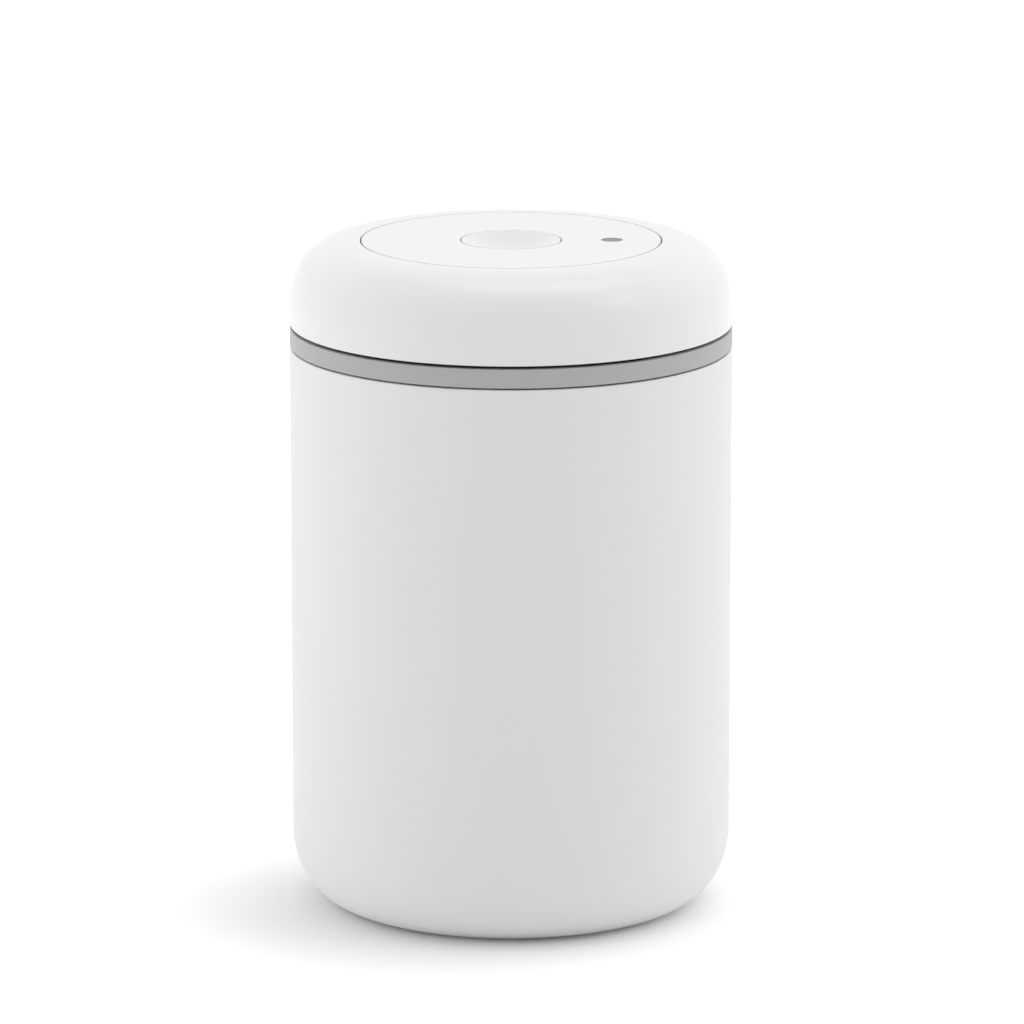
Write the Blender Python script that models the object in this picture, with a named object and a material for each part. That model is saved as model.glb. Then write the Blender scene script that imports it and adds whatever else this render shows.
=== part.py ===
"""Vacuum canister: a drawn steel jar closed by a lid that holds its own air pump.

Turning the white cap to and fro drives an annular piston up and down through a cam ring.
A dished button in the middle of the lid lets the air back in, and a small plunger beside
it sinks while the jar holds a vacuum. The origin is at the middle of the base, +Z is up
and the indicator lies on +X.
"""

import math

import bmesh
import bpy
from mathutils import Matrix, Vector

MM = 0.001
TURN = 2 * math.pi

# Clearances
FIT = 0.3 * MM
RING_GAP = 0.5 * MM
SLIDE_GAP = 0.4 * MM
OVERRUN = 1.0 * MM
WELD = 0.001 * MM

# Facets round a circle
SHELL_STEPS = 36
INNER_STEPS = 30
BUTTON_STEPS = 24
SMALL_STEPS = 16
FASTENER_STEPS = 8
HOLE_STEPS = 6
CORNER_STEPS = 6
INNER_CORNER_STEPS = 3
SMOOTH_ANGLE = math.radians(32)

# Canister shell, drawn from sheet steel with a folded rim
BODY_RADIUS = 60.5 * MM
SHELL_HEIGHT = 155.3 * MM
SHELL_WALL = 0.9 * MM
HEM_SHEETS = 2
HEM_DEPTH = 7.0 * MM
RIM_EDGE = 0.4 * MM
CORNER_WIDTH = 15.5 * MM
CORNER_HEIGHT = 20.0 * MM
FOOT_WIDTH = 4.0 * MM
BASE_STEP_WIDTH = 2.5 * MM
BASE_RECESS = 2.5 * MM

# Lid stack, from the rim of the shell upwards
RIM_GAP = 0.4 * MM
BAND_HEIGHT = 5.2 * MM
TWIST_GAP = 0.8 * MM
CAP_HEIGHT = 22.9 * MM

# Band ring
BAND_WALL = 2.2 * MM
BAND_LEDGE = 2.0 * MM
BAND_EDGE = 0.5 * MM

# Plug housing
PLUG_DEPTH = 28.0 * MM
PLUG_CLEARANCE = 1.5 * MM
PLUG_EDGE = 1.2 * MM
GROOVE_DEPTH = 2.0 * MM
HOUSING_WALL = 2.0 * MM
HOUSING_FLOOR = 2.2 * MM
SNAP_LIP_DEPTH = 0.8 * MM
SNAP_LIP_HEIGHT = 1.7 * MM
TOWER_WALL = 3.4 * MM
TUBE_BORE = 5.0 * MM
TUBE_WALL = 2.5 * MM
TUBE_COLLAR = 2.0 * MM
TOP_ROOM = 0.8 * MM
PILOT_DEPTH = 8.0 * MM

# Lid gasket
GASKET_HEIGHT = 5.2 * MM
GASKET_BACK = 1.3 * MM
LIP_ROOT = 0.9 * MM
LIP_EDGE = 0.4 * MM
LIP_RISE = 0.9 * MM
LIP_START_SHARES = (0.12, 0.52)

# Intake grille and dust filter
GRILLE_MARGIN = 6.5 * MM
GRILLE_THICKNESS = 1.6 * MM
GRILLE_HOLE_RADIUS = 2.0 * MM
GRILLE_ROW_COUNTS = (1, 6, 12)
GRILLE_RIM = 8.0 * MM
FILTER_THICKNESS = 0.8 * MM
BULB_ROOM = 2.0 * MM

# Umbrella valves, two in the chamber floor and two in the piston crown
VALVE_COUNT = 2
VALVE_RADIUS = 5.0 * MM
VALVE_HEIGHT = 1.4 * MM
VALVE_EDGE = 0.35 * MM
VALVE_STEM_RADIUS = 1.1 * MM
BULB_RADIUS = 1.8 * MM
BULB_HEIGHT = 1.2 * MM
PORT_COUNT = 3
PORT_RADIUS = 0.9 * MM
PORT_RING_RADIUS = 3.2 * MM
INTAKE_ANGLE = math.radians(90)
EXHAUST_ANGLE = math.radians(60)

# Pump piston
STROKE = 9.0 * MM
CROWN_THICKNESS = 2.2 * MM
CHAMBER_ROOM = 2.0 * MM
PISTON_CLEARANCE = 0.6 * MM
SKIRT_HEIGHT = 8.5 * MM
SKIRT_WALL = 2.7 * MM
HUB_WALL = 2.9 * MM
HUB_CLEARANCE = 0.6 * MM
SEAL_GROOVE_DEPTH = 1.0 * MM
SEAL_HEIGHT = 2.4 * MM
SEAL_LEVEL = 2.4 * MM
LUG_COUNT = 3
LUG_ANGLE = math.radians(90)
LUG_WIDTH = 9.0 * MM
KEY_HEIGHT = 8.0 * MM
KEY_WIDTH = 6.2 * MM

# Cam ring and follower pins
TWIST_RANGE = math.radians(75)
PIN_RADIUS = 1.8 * MM
CAM_GAP = 1.1 * MM
CAM_WALL = 3.0 * MM
CAM_MARGIN = 3.0 * MM
CAM_FLANGE_WIDTH = 6.2 * MM
CAM_FLANGE_THICKNESS = 2.4 * MM
TRACK_STEPS = 8
TRACK_CAP_ANGLES = (1.3, 0.8)

# Cap
CAP_WALL = 2.0 * MM
CAP_SKIRT = 1.3 * MM
CAP_EDGE = 0.35 * MM
CAP_CORNER_POWER = 2.8
CAP_CORNER_STEPS = 6
OPENING_LIP_WALL = 1.8 * MM
OPENING_LIP_DEPTH = 4.0 * MM
RIB_WALL = 1.4 * MM
RIB_DEPTH = 5.4 * MM
BEAD_HEIGHT = 1.6 * MM
BEAD_DEPTH = 0.7 * MM
SHOULDER_WIDTH = 3.8 * MM
SHOULDER_THICKNESS = 1.5 * MM
BOSS_RADIUS = 2.9 * MM
BOSS_ANGLE = math.radians(30)

# Glide ring
GLIDE_THICKNESS = 0.9 * MM

# Screws
SCREW_COUNT = 3
SCREW_ANGLE = math.radians(30)
CAM_SCREW_RADIUS = 1.1 * MM
CAM_SCREW_HEAD_RADIUS = 2.2 * MM
CAM_SCREW_HEAD = 1.5 * MM
CAM_SCREW_LENGTH = 9.0 * MM
TOWER_SCREW_RADIUS = 0.8 * MM
TOWER_SCREW_HEAD_RADIUS = 1.6 * MM
TOWER_SCREW_HEAD = 1.2 * MM
TOWER_SCREW_LENGTH = 8.0 * MM
SOCKET_SHARE = 0.5

# Top disc
DISC_OVERLAP = 1.0 * MM
DISC_GAP = 0.3 * MM
DISC_THICKNESS = 2.3 * MM
DISC_COLLAR_WALL = 1.6 * MM
DISC_COLLAR_DEPTH = 3.6 * MM
SNAP_RING_WALL = 1.5 * MM
SNAP_RING_DEPTH = 5.0 * MM

# Disc carrier, screwed to the pump tower
CARRIER_HEIGHT = 15.4 * MM
PLATE_THICKNESS = 2.2 * MM
CARRIER_RING_INSET = 0.8 * MM
CARRIER_RING_WALL = 1.8 * MM
SEAT_WALL = 2.0 * MM
SEAT_DEPTH = 2.4 * MM
SLEEVE_BORE = 7.6 * MM
SLEEVE_WALL = 1.8 * MM

# Release button, stem and valve
BUTTON_RADIUS = 13.6 * MM
BUTTON_EDGE = 0.4 * MM
BUTTON_DISH = 3.2 * MM
BUTTON_RIM = 4.0 * MM
BUTTON_UNDERSIDE = 4.5 * MM
BUTTON_TRAVEL = 3.0 * MM
DISH_STEPS = 5
GUIDE_WALL = 1.5 * MM
STEM_RADIUS = 1.6 * MM
STEM_SOCKET_DEPTH = 3.4 * MM
STEM_BOSS_WALL = 1.5 * MM
SEAT_HOLE_GAP = 0.5 * MM
VALVE_HEAD_RADIUS = 4.2 * MM
VALVE_HEAD_HEIGHT = 1.4 * MM
STEM_SEAL_HEIGHT = 1.4 * MM
TUBE_SEAL_HEIGHT = 0.9 * MM

# Vacuum indicator
INDICATOR_PLACE_SHARE = 0.866
INDICATOR_RADIUS = 2.85 * MM
INDICATOR_SINK = 0.3 * MM
INDICATOR_TRAVEL = 4.0 * MM
INDICATOR_HEAD = 3.0 * MM
INDICATOR_STEM_RADIUS = 1.4 * MM
INDICATOR_PISTON_RADIUS = 3.3 * MM
INDICATOR_PISTON_HEIGHT = 4.0 * MM
INDICATOR_GROOVE_DEPTH = 0.9 * MM
INDICATOR_SEAL_HEIGHT = 1.4 * MM
INDICATOR_SPRING_ROOM = 8.4 * MM
WELL_WALL = 1.4 * MM
WELL_FLOOR = 1.6 * MM
SLEEVE_RING_WALL = 1.4 * MM
SLEEVE_RING_HEIGHT = 4.0 * MM
SLEEVE_SEAT = 0.5 * MM

# Hose from the pump tube to the indicator well
NIPPLE_RADIUS = 1.3 * MM
NIPPLE_BORE = 0.7 * MM
NIPPLE_LENGTH_SHARE = 0.27
HOSE_WALL = 0.8 * MM
HOSE_ROOM = 0.5 * MM

# Springs
RELEASE_WIRE = 0.7 * MM
RELEASE_COIL_RADIUS = 5.6 * MM
RELEASE_TURNS = 5
INDICATOR_WIRE = 0.4 * MM
INDICATOR_COIL_RADIUS = 2.4 * MM
INDICATOR_TURNS = 5
COIL_POINTS = 8
WIRE_SIDES_RESOLUTION = 0

# Levels above the base, from the rim upwards
band_base = SHELL_HEIGHT + RIM_GAP
band_top = band_base + BAND_HEIGHT
cap_base = band_top + TWIST_GAP
plug_base = band_base - PLUG_DEPTH

# Radii from the shell inwards
hem_inner = BODY_RADIUS - HEM_SHEETS * SHELL_WALL
plug_radius = hem_inner - PLUG_CLEARANCE
groove_radius = plug_radius - GROOVE_DEPTH
housing_inner = groove_radius - HOUSING_WALL
snap_lip_inner = housing_inner - SNAP_LIP_DEPTH
rib_outer = snap_lip_inner - RING_GAP
rib_inner = rib_outer - RIB_WALL
cam_flange = rib_inner - FIT
cam_outer = cam_flange - CAM_FLANGE_WIDTH
cam_inner = cam_outer - CAM_WALL
tower_radius = cam_inner - CAM_GAP
bore_radius = tower_radius - TOWER_WALL
band_wall_inner = BODY_RADIUS - BAND_WALL
boss_ring = cam_outer + CAM_FLANGE_WIDTH / 2
screw_ring = bore_radius + TOWER_WALL / 2
disc_radius = tower_radius + DISC_OVERLAP
cap_opening = disc_radius + DISC_GAP

# Radii of the piston, from the bore inwards and from the tube outwards
piston_rim = bore_radius - PISTON_CLEARANCE
skirt_inner = piston_rim - SKIRT_WALL
tube_radius = TUBE_BORE + TUBE_WALL
piston_bore = tube_radius + HUB_CLEARANCE
hub_radius = piston_bore + HUB_WALL
valve_ring = (hub_radius + skirt_inner) / 2
grille_radius = bore_radius - GRILLE_MARGIN
carrier_ring_radius = bore_radius - CARRIER_RING_INSET
carrier_ring_inner = carrier_ring_radius - CARRIER_RING_WALL

# The indicator stands between the button's rim and the carrier's ring
well_bore = INDICATOR_PISTON_RADIUS + FIT
well_radius = well_bore + WELL_WALL
window_radius = INDICATOR_RADIUS + FIT
sleeve_ring_radius = window_radius + SLEEVE_RING_WALL
nearest_place = BUTTON_RADIUS + FIT + sleeve_ring_radius
farthest_place = carrier_ring_inner - well_radius
indicator_offset = nearest_place + INDICATOR_PLACE_SHARE * (farthest_place - nearest_place)
hose_start = tube_radius + FIT
hose_end = indicator_offset - well_radius - FIT
nipple_length = NIPPLE_LENGTH_SHARE * (hose_end - hose_start)
hose_radius = NIPPLE_RADIUS + FIT + HOSE_WALL

# Levels inside the lid, above the underside of the plug and from the disc's face downwards
face_level = PLUG_DEPTH + BAND_HEIGHT + TWIST_GAP + CAP_HEIGHT
carrier_base = face_level - CARRIER_HEIGHT
tower_height = carrier_base - FIT
recess_height = GRILLE_THICKNESS + FIT + FILTER_THICKNESS + BULB_ROOM
chamber_floor = recess_height + HOUSING_FLOOR
piston_base = chamber_floor + CHAMBER_ROOM
lug_height = tower_height - TOP_ROOM - STROKE - piston_base
pin_height = lug_height - KEY_HEIGHT / 2
pin_level = piston_base + pin_height
housing_top = PLUG_DEPTH + BAND_LEDGE + FIT + HOUSING_FLOOR
groove_base = PLUG_DEPTH - FIT - GASKET_HEIGHT - FIT
seat_underside = carrier_base - SEAT_DEPTH
tube_height = seat_underside - FIT - TUBE_SEAL_HEIGHT - FIT
nipple_level = tube_height - TUBE_COLLAR - SLIDE_GAP - hose_radius
hub_height = nipple_level - hose_radius - HOSE_ROOM - STROKE - piston_base
well_floor = nipple_level - NIPPLE_BORE - FIT
sleeve_ring_top = SLEEVE_SEAT - DISC_THICKNESS - FIT
sleeve_ring_base = sleeve_ring_top - SLEEVE_RING_HEIGHT
track_half = PIN_RADIUS + FIT
cam_base = pin_level - track_half - CAM_MARGIN
cam_height = STROKE + 2 * (track_half + CAM_MARGIN)
piston_rate = STROKE / TWIST_RANGE


# Shapes and objects
def clear_scene():
    for thing in list(bpy.data.objects):
        bpy.data.objects.remove(thing)


def paint(name, red, green, blue, roughness, metallic=0.0):
    material = bpy.data.materials.new(name)
    material.use_nodes = True
    surface = material.node_tree.nodes["Principled BSDF"]
    surface.inputs["Base Color"].default_value = (red, green, blue, 1.0)
    surface.inputs["Roughness"].default_value = roughness
    surface.inputs["Metallic"].default_value = metallic
    material.diffuse_color = (red, green, blue, 1.0)
    return material


def group(name, place, parent=None):
    """An empty that carries the pieces of one moving body."""
    holder = bpy.data.objects.new(name, None)
    bpy.context.scene.collection.objects.link(holder)
    holder.parent = parent
    holder.location = place
    return holder


def piece(name, shape, material, parent, place=(0, 0, 0)):
    """Turns a bmesh into a named object with smooth round faces."""
    bmesh.ops.recalc_face_normals(shape, faces=shape.faces)
    mesh = bpy.data.meshes.new(name)
    shape.to_mesh(mesh)
    shape.free()
    mesh.materials.append(material)
    mesh.shade_smooth()
    mesh.set_sharp_from_angle(angle=SMOOTH_ANGLE)
    thing = bpy.data.objects.new(name, mesh)
    bpy.context.scene.collection.objects.link(thing)
    thing.parent = parent
    thing.location = place
    return thing


def spun(name, outline, steps, material, parent, place=(0, 0, 0)):
    """Turns a (radius, height) outline once round the vertical axis. It may start and end on the axis."""
    shape = bmesh.new()
    points = [shape.verts.new((radius, 0, height)) for radius, height in outline]
    lines = []
    for before, after in zip(points, points[1:] + points[:1]):
        if before.co.x > 0 or after.co.x > 0:
            lines.append(shape.edges.new((before, after)))
    bmesh.ops.spin(
        shape, geom=points + lines, cent=(0, 0, 0), axis=(0, 0, 1), angle=TURN, steps=steps, use_merge=True
    )
    bmesh.ops.remove_doubles(shape, verts=shape.verts, dist=WELD)
    return piece(name, shape, material, parent, place)


def ring_outline(inner, outer, low, high):
    return [(inner, low), (outer, low), (outer, high), (inner, high)]


def quarter(centre_radius, centre_height, width, height, start, steps):
    """Points of a quarter ellipse that turns anticlockwise from the start quadrant."""
    points = []
    for step in range(steps + 1):
        angle = (start + step / steps) * TURN / 4
        points.append((centre_radius + width * math.cos(angle), centre_height + height * math.sin(angle)))
    return points


def add_rod(shape, radius, start, end, sides, turned=False):
    """Adds a closed round rod between two points. Turned, it has a flat and not a corner on its axes."""
    start, end = Vector(start), Vector(end)
    along = end - start
    place = Matrix.Translation((start + end) / 2) @ along.to_track_quat("Z", "Y").to_matrix().to_4x4()
    if turned:
        place = place @ Matrix.Rotation(math.pi / sides, 4, "Z")
    bmesh.ops.create_cone(
        shape, cap_ends=True, segments=sides, radius1=radius, radius2=radius, depth=along.length, matrix=place
    )


def add_block(shape, low, high, angle=0.0):
    """Adds a box between two corners, then turns it about the vertical axis."""
    low, high = Vector(low), Vector(high)
    place = Matrix.Rotation(angle, 4, "Z") @ Matrix.Translation((low + high) / 2)
    bmesh.ops.create_cube(shape, size=1, matrix=place @ Matrix.Diagonal((*(high - low), 1)))


def around(radius, angle, level=0.0):
    return (radius * math.cos(angle), radius * math.sin(angle), level)


def spread(count, first):
    return [first + index * TURN / count for index in range(count)]


def combine(target, shape, operation, label):
    """Cuts or joins a hidden helper shape that is modelled in the target's own frame."""
    helper = piece(f"{target.name}_{label}", shape, target.data.materials[0], target)
    helper.hide_render = True
    helper.display_type = "WIRE"
    change = target.modifiers.new(label, "BOOLEAN")
    change.operation = operation
    change.solver = "EXACT"
    change.object = helper


def cut(target, shape, label):
    combine(target, shape, "DIFFERENCE", label)


def join(target, shape, label):
    combine(target, shape, "UNION", label)


def coil(name, coil_radius, wire, turns, length, material, parent, place):
    """A round wire wound as an open helix of the given length. It prints the least gap between turns."""
    steps = turns * COIL_POINTS
    climb = length - wire
    curve = bpy.data.curves.new(name, "CURVE")
    curve.dimensions = "3D"
    curve.bevel_depth = wire / 2
    curve.bevel_resolution = WIRE_SIDES_RESOLUTION
    curve.use_fill_caps = True
    line = curve.splines.new("POLY")
    line.points.add(steps)
    for index, point in enumerate(line.points):
        angle = index * TURN / COIL_POINTS
        point.co = (*around(coil_radius, angle, wire / 2 + climb * index / steps), 1)
    curve.materials.append(material)
    thing = bpy.data.objects.new(name, curve)
    bpy.context.scene.collection.objects.link(thing)
    thing.parent = parent
    thing.location = place
    print(f"{name}: least gap between turns {(climb / turns - wire) / MM:.2f} mm")
    return thing


def umbrella_valve(name, floor_thickness, material, parent, place):
    """A soft mushroom valve: a thin dome, a stem through the floor and a bulb that holds it there."""
    bulb_top = -floor_thickness - FIT
    outline = [
        (0, FIT + VALVE_HEIGHT),
        (VALVE_RADIUS - VALVE_HEIGHT, VALVE_HEIGHT),
        (VALVE_RADIUS, FIT + VALVE_EDGE),
        (VALVE_RADIUS, FIT),
        (VALVE_STEM_RADIUS, FIT),
        (VALVE_STEM_RADIUS, bulb_top),
        (BULB_RADIUS, bulb_top),
        (VALVE_STEM_RADIUS, bulb_top - BULB_HEIGHT),
        (0, bulb_top - BULB_HEIGHT),
    ]
    return spun(name, outline, FASTENER_STEPS, material, parent, place)


def add_valve_holes(shape, angle, thickness, base):
    """Adds the stem hole of one umbrella valve and the air ports round it."""
    centre = Vector(around(valve_ring, angle))
    low = Vector((0, 0, base - OVERRUN))
    high = Vector((0, 0, base + thickness + OVERRUN))
    add_rod(shape, VALVE_STEM_RADIUS + FIT, centre + low, centre + high, HOLE_STEPS)
    for port_angle in spread(PORT_COUNT, angle):
        port = centre + Vector(around(PORT_RING_RADIUS, port_angle))
        add_rod(shape, PORT_RADIUS, port + low, port + high, HOLE_STEPS)


# Canister
def canister_shell(material, parent):
    wall = SHELL_WALL
    corner_radius = BODY_RADIUS - CORNER_WIDTH
    foot_inner = corner_radius - FOOT_WIDTH
    floor_radius = foot_inner - BASE_STEP_WIDTH
    slope = math.hypot(BASE_STEP_WIDTH, BASE_RECESS)
    lean = wall * (slope - BASE_STEP_WIDTH) / BASE_RECESS
    hem_base = SHELL_HEIGHT - HEM_DEPTH
    outline = [(0, BASE_RECESS), (floor_radius, BASE_RECESS), (foot_inner, 0)]
    outline += quarter(corner_radius, CORNER_HEIGHT, CORNER_WIDTH, CORNER_HEIGHT, 3, CORNER_STEPS)
    outline += [
        (BODY_RADIUS, SHELL_HEIGHT - RIM_EDGE),
        (BODY_RADIUS - RIM_EDGE, SHELL_HEIGHT),
        (hem_inner + RIM_EDGE, SHELL_HEIGHT),
        (hem_inner, SHELL_HEIGHT - RIM_EDGE),
        (hem_inner, hem_base),
        (BODY_RADIUS - wall, hem_base - wall),
    ]
    inner_width = CORNER_WIDTH - wall
    inner_height = CORNER_HEIGHT - wall
    inner = quarter(corner_radius, CORNER_HEIGHT, inner_width, inner_height, 3, INNER_CORNER_STEPS)
    outline += reversed(inner)
    outline += [(foot_inner + lean, wall), (floor_radius + lean, BASE_RECESS + wall), (0, BASE_RECESS + wall)]
    return spun("canister_shell", outline, SHELL_STEPS, material, parent)


# Fixed lid pieces
def band_ring(material, parent):
    ledge_inner = groove_radius + RING_GAP
    outline = [
        (ledge_inner, 0),
        (BODY_RADIUS - BAND_EDGE, 0),
        (BODY_RADIUS, BAND_EDGE),
        (BODY_RADIUS, BAND_HEIGHT - BAND_EDGE),
        (BODY_RADIUS - BAND_EDGE, BAND_HEIGHT),
        (band_wall_inner, BAND_HEIGHT),
        (band_wall_inner, BAND_LEDGE),
        (ledge_inner, BAND_LEDGE),
    ]
    return spun("band_ring", outline, SHELL_STEPS, material, parent)


def plug_housing(material, parent, place):
    recess_radius = grille_radius + FIT
    flange_base = PLUG_DEPTH + BAND_LEDGE + FIT
    lip_base = housing_top - SNAP_LIP_HEIGHT
    outline = [
        (TUBE_BORE, recess_height),
        (recess_radius, recess_height),
        (recess_radius, 0),
        (plug_radius - PLUG_EDGE, 0),
        (plug_radius, PLUG_EDGE),
        (plug_radius, groove_base),
        (groove_radius, groove_base),
        (groove_radius, flange_base),
        (band_wall_inner - RING_GAP, flange_base),
        (band_wall_inner - RING_GAP, housing_top),
        (snap_lip_inner, housing_top),
        (snap_lip_inner, lip_base),
        (housing_inner, lip_base),
        (housing_inner, HOUSING_FLOOR),
        (tower_radius, HOUSING_FLOOR),
        (tower_radius, tower_height),
        (bore_radius, tower_height),
        (bore_radius, chamber_floor),
        (tube_radius, chamber_floor),
        (tube_radius, tube_height),
        (TUBE_BORE, tube_height),
    ]
    housing = spun("plug_housing", outline, INNER_STEPS, material, parent, place)

    nipple = bmesh.new()
    nipple_end = hose_start + nipple_length
    nipple_root = (TUBE_BORE + TUBE_WALL / 2, 0, nipple_level)
    add_rod(nipple, NIPPLE_RADIUS, nipple_root, (nipple_end, 0, nipple_level), FASTENER_STEPS)
    join(housing, nipple, "nipple")

    openings = bmesh.new()
    slot_half = KEY_WIDTH / 2 + FIT
    slot_base = pin_level - KEY_HEIGHT / 2 - FIT
    for angle in spread(LUG_COUNT, LUG_ANGLE):
        low = (bore_radius - OVERRUN, -slot_half, slot_base)
        high = (tower_radius + OVERRUN, slot_half, tower_height + OVERRUN)
        add_block(openings, low, high, angle)
    for angle in spread(SCREW_COUNT, SCREW_ANGLE):
        bottom = around(screw_ring, angle, tower_height - PILOT_DEPTH)
        top = around(screw_ring, angle, tower_height + OVERRUN)
        add_rod(openings, TOWER_SCREW_RADIUS + FIT, bottom, top, HOLE_STEPS)
    for angle in spread(VALVE_COUNT, INTAKE_ANGLE):
        add_valve_holes(openings, angle, HOUSING_FLOOR, recess_height)
    bore_end = (nipple_end + OVERRUN, 0, nipple_level)
    add_rod(openings, NIPPLE_BORE, (0, 0, nipple_level), bore_end, HOLE_STEPS)
    cut(housing, openings, "openings")
    return housing


def lid_gasket(material, parent, place):
    inner = groove_radius + FIT
    back = inner + GASKET_BACK
    lip_radius = hem_inner - RING_GAP
    outline = [(inner, 0), (back, 0)]
    for share in LIP_START_SHARES:
        root = share * GASKET_HEIGHT
        outline += [
            (back, root),
            (lip_radius, root + LIP_RISE),
            (lip_radius, root + LIP_RISE + LIP_EDGE),
            (back, root + LIP_ROOT),
        ]
    outline += [(back, GASKET_HEIGHT), (inner, GASKET_HEIGHT)]
    return spun("lid_gasket", outline, INNER_STEPS, material, parent, place)


def intake_grille(material, parent, place):
    row_pitch = (grille_radius - GRILLE_RIM) / (len(GRILLE_ROW_COUNTS) - 1)
    plate = bmesh.new()
    add_rod(plate, grille_radius, (0, 0, 0), (0, 0, GRILLE_THICKNESS), INNER_STEPS)
    grille = piece("intake_grille", plate, material, parent, place)
    holes = bmesh.new()
    for row, count in enumerate(GRILLE_ROW_COUNTS):
        for angle in spread(count, 0):
            x, y, _ = around(row * row_pitch, angle)
            top = (x, y, GRILLE_THICKNESS + OVERRUN)
            add_rod(holes, GRILLE_HOLE_RADIUS, (x, y, -OVERRUN), top, HOLE_STEPS)
    cut(grille, holes, "holes")
    return grille


def dust_filter(material, parent, place):
    felt = bmesh.new()
    add_rod(felt, grille_radius, (0, 0, 0), (0, 0, FILTER_THICKNESS), INNER_STEPS)
    return piece("dust_filter", felt, material, parent, place)


def glide_ring(material, parent, place):
    outline = ring_outline(snap_lip_inner, band_wall_inner - RING_GAP, 0, GLIDE_THICKNESS)
    return spun("glide_ring", outline, INNER_STEPS, material, parent, place)


def disc_carrier(material, parent, place):
    """The plate on the pump tower, with the ring for the disc, the button's sleeve and the indicator well."""
    ring_top = CARRIER_HEIGHT - DISC_THICKNESS - FIT
    sleeve_radius = SLEEVE_BORE + SLEEVE_WALL
    sleeve_top = CARRIER_HEIGHT - BUTTON_UNDERSIDE - BUTTON_TRAVEL - SLIDE_GAP
    collar_inner = tube_radius + FIT
    collar_base = tube_height - TUBE_COLLAR - carrier_base
    outline = [
        (STEM_RADIUS + SEAT_HOLE_GAP, -SEAT_DEPTH),
        (collar_inner, -SEAT_DEPTH),
        (collar_inner, collar_base),
        (sleeve_radius, collar_base),
        (sleeve_radius, 0),
        (tower_radius, 0),
        (tower_radius, PLATE_THICKNESS),
        (carrier_ring_radius, PLATE_THICKNESS),
        (carrier_ring_radius, ring_top),
        (carrier_ring_inner, ring_top),
        (carrier_ring_inner, PLATE_THICKNESS),
        (sleeve_radius, PLATE_THICKNESS),
        (sleeve_radius, sleeve_top),
        (SLEEVE_BORE, sleeve_top),
        (SLEEVE_BORE, SEAT_WALL - SEAT_DEPTH),
        (STEM_RADIUS + SEAT_HOLE_GAP, SEAT_WALL - SEAT_DEPTH),
    ]
    carrier = spun("disc_carrier", outline, INNER_STEPS, material, parent, place)

    well_top = CARRIER_HEIGHT + sleeve_ring_base - FIT
    duct = nipple_level - carrier_base
    bore_base = well_floor - carrier_base
    well = bmesh.new()
    well_bottom = (indicator_offset, 0, bore_base - WELL_FLOOR)
    add_rod(well, well_radius, well_bottom, (indicator_offset, 0, well_top), SMALL_STEPS, True)
    join(carrier, well, "well")
    nipple = bmesh.new()
    nipple_root = indicator_offset - well_bore - WELL_WALL / 2
    nipple_end = hose_end - nipple_length
    add_rod(nipple, NIPPLE_RADIUS, (nipple_end, 0, duct), (nipple_root, 0, duct), FASTENER_STEPS)
    join(carrier, nipple, "nipple")

    bore = bmesh.new()
    bore_top = (indicator_offset, 0, well_top + OVERRUN)
    add_rod(bore, well_bore, (indicator_offset, 0, bore_base), bore_top, SMALL_STEPS, True)
    for angle in spread(SCREW_COUNT, SCREW_ANGLE):
        bottom = around(screw_ring, angle, -OVERRUN)
        top = around(screw_ring, angle, PLATE_THICKNESS + OVERRUN)
        add_rod(bore, TOWER_SCREW_RADIUS + FIT, bottom, top, HOLE_STEPS)
    cut(carrier, bore, "bores")
    channel = bmesh.new()
    add_rod(channel, NIPPLE_BORE, (nipple_end - OVERRUN, 0, duct), (indicator_offset, 0, duct), HOLE_STEPS)
    cut(carrier, channel, "channel")
    return carrier


def top_disc(material, parent, place):
    """The still disc in the middle of the lid. Its origin is on its upper face."""
    hole = BUTTON_RADIUS + DISC_GAP
    collar = hole + DISC_COLLAR_WALL
    snap_inner = carrier_ring_radius + FIT
    snap_outer = snap_inner + SNAP_RING_WALL
    outline = [
        (hole, 0),
        (hole, -DISC_COLLAR_DEPTH),
        (collar, -DISC_COLLAR_DEPTH),
        (collar, -DISC_THICKNESS),
        (snap_inner, -DISC_THICKNESS),
        (snap_inner, -SNAP_RING_DEPTH - DISC_THICKNESS),
        (snap_outer, -SNAP_RING_DEPTH - DISC_THICKNESS),
        (snap_outer, -DISC_THICKNESS),
        (disc_radius, -DISC_THICKNESS),
        (disc_radius, 0),
    ]
    disc = spun("top_disc", outline, SHELL_STEPS, material, parent, place)
    hole_shape = bmesh.new()
    bottom = (indicator_offset, 0, -DISC_THICKNESS - OVERRUN)
    add_rod(hole_shape, window_radius, bottom, (indicator_offset, 0, OVERRUN), SMALL_STEPS, True)
    cut(disc, hole_shape, "indicator_hole")
    room = bmesh.new()
    bottom = (indicator_offset, 0, -DISC_COLLAR_DEPTH - OVERRUN)
    top = (indicator_offset, 0, SLEEVE_SEAT - DISC_THICKNESS)
    add_rod(room, sleeve_ring_radius + FIT, bottom, top, SMALL_STEPS, True)
    cut(disc, room, "sleeve_room")
    return disc


def screw(name, radius, head_radius, head, length, material, parent, place, head_up):
    """A small screw whose origin is under its head, with a round driver socket."""
    socket = head_radius * SOCKET_SHARE
    outline = [
        (0, -length),
        (radius, -length),
        (radius, 0),
        (head_radius, 0),
        (head_radius, head),
        (socket, head),
        (socket, head / 2),
        (0, head / 2),
    ]
    if not head_up:
        outline = [(across, -along) for across, along in outline]
    return spun(name, outline, FASTENER_STEPS, material, parent, place)


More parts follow.
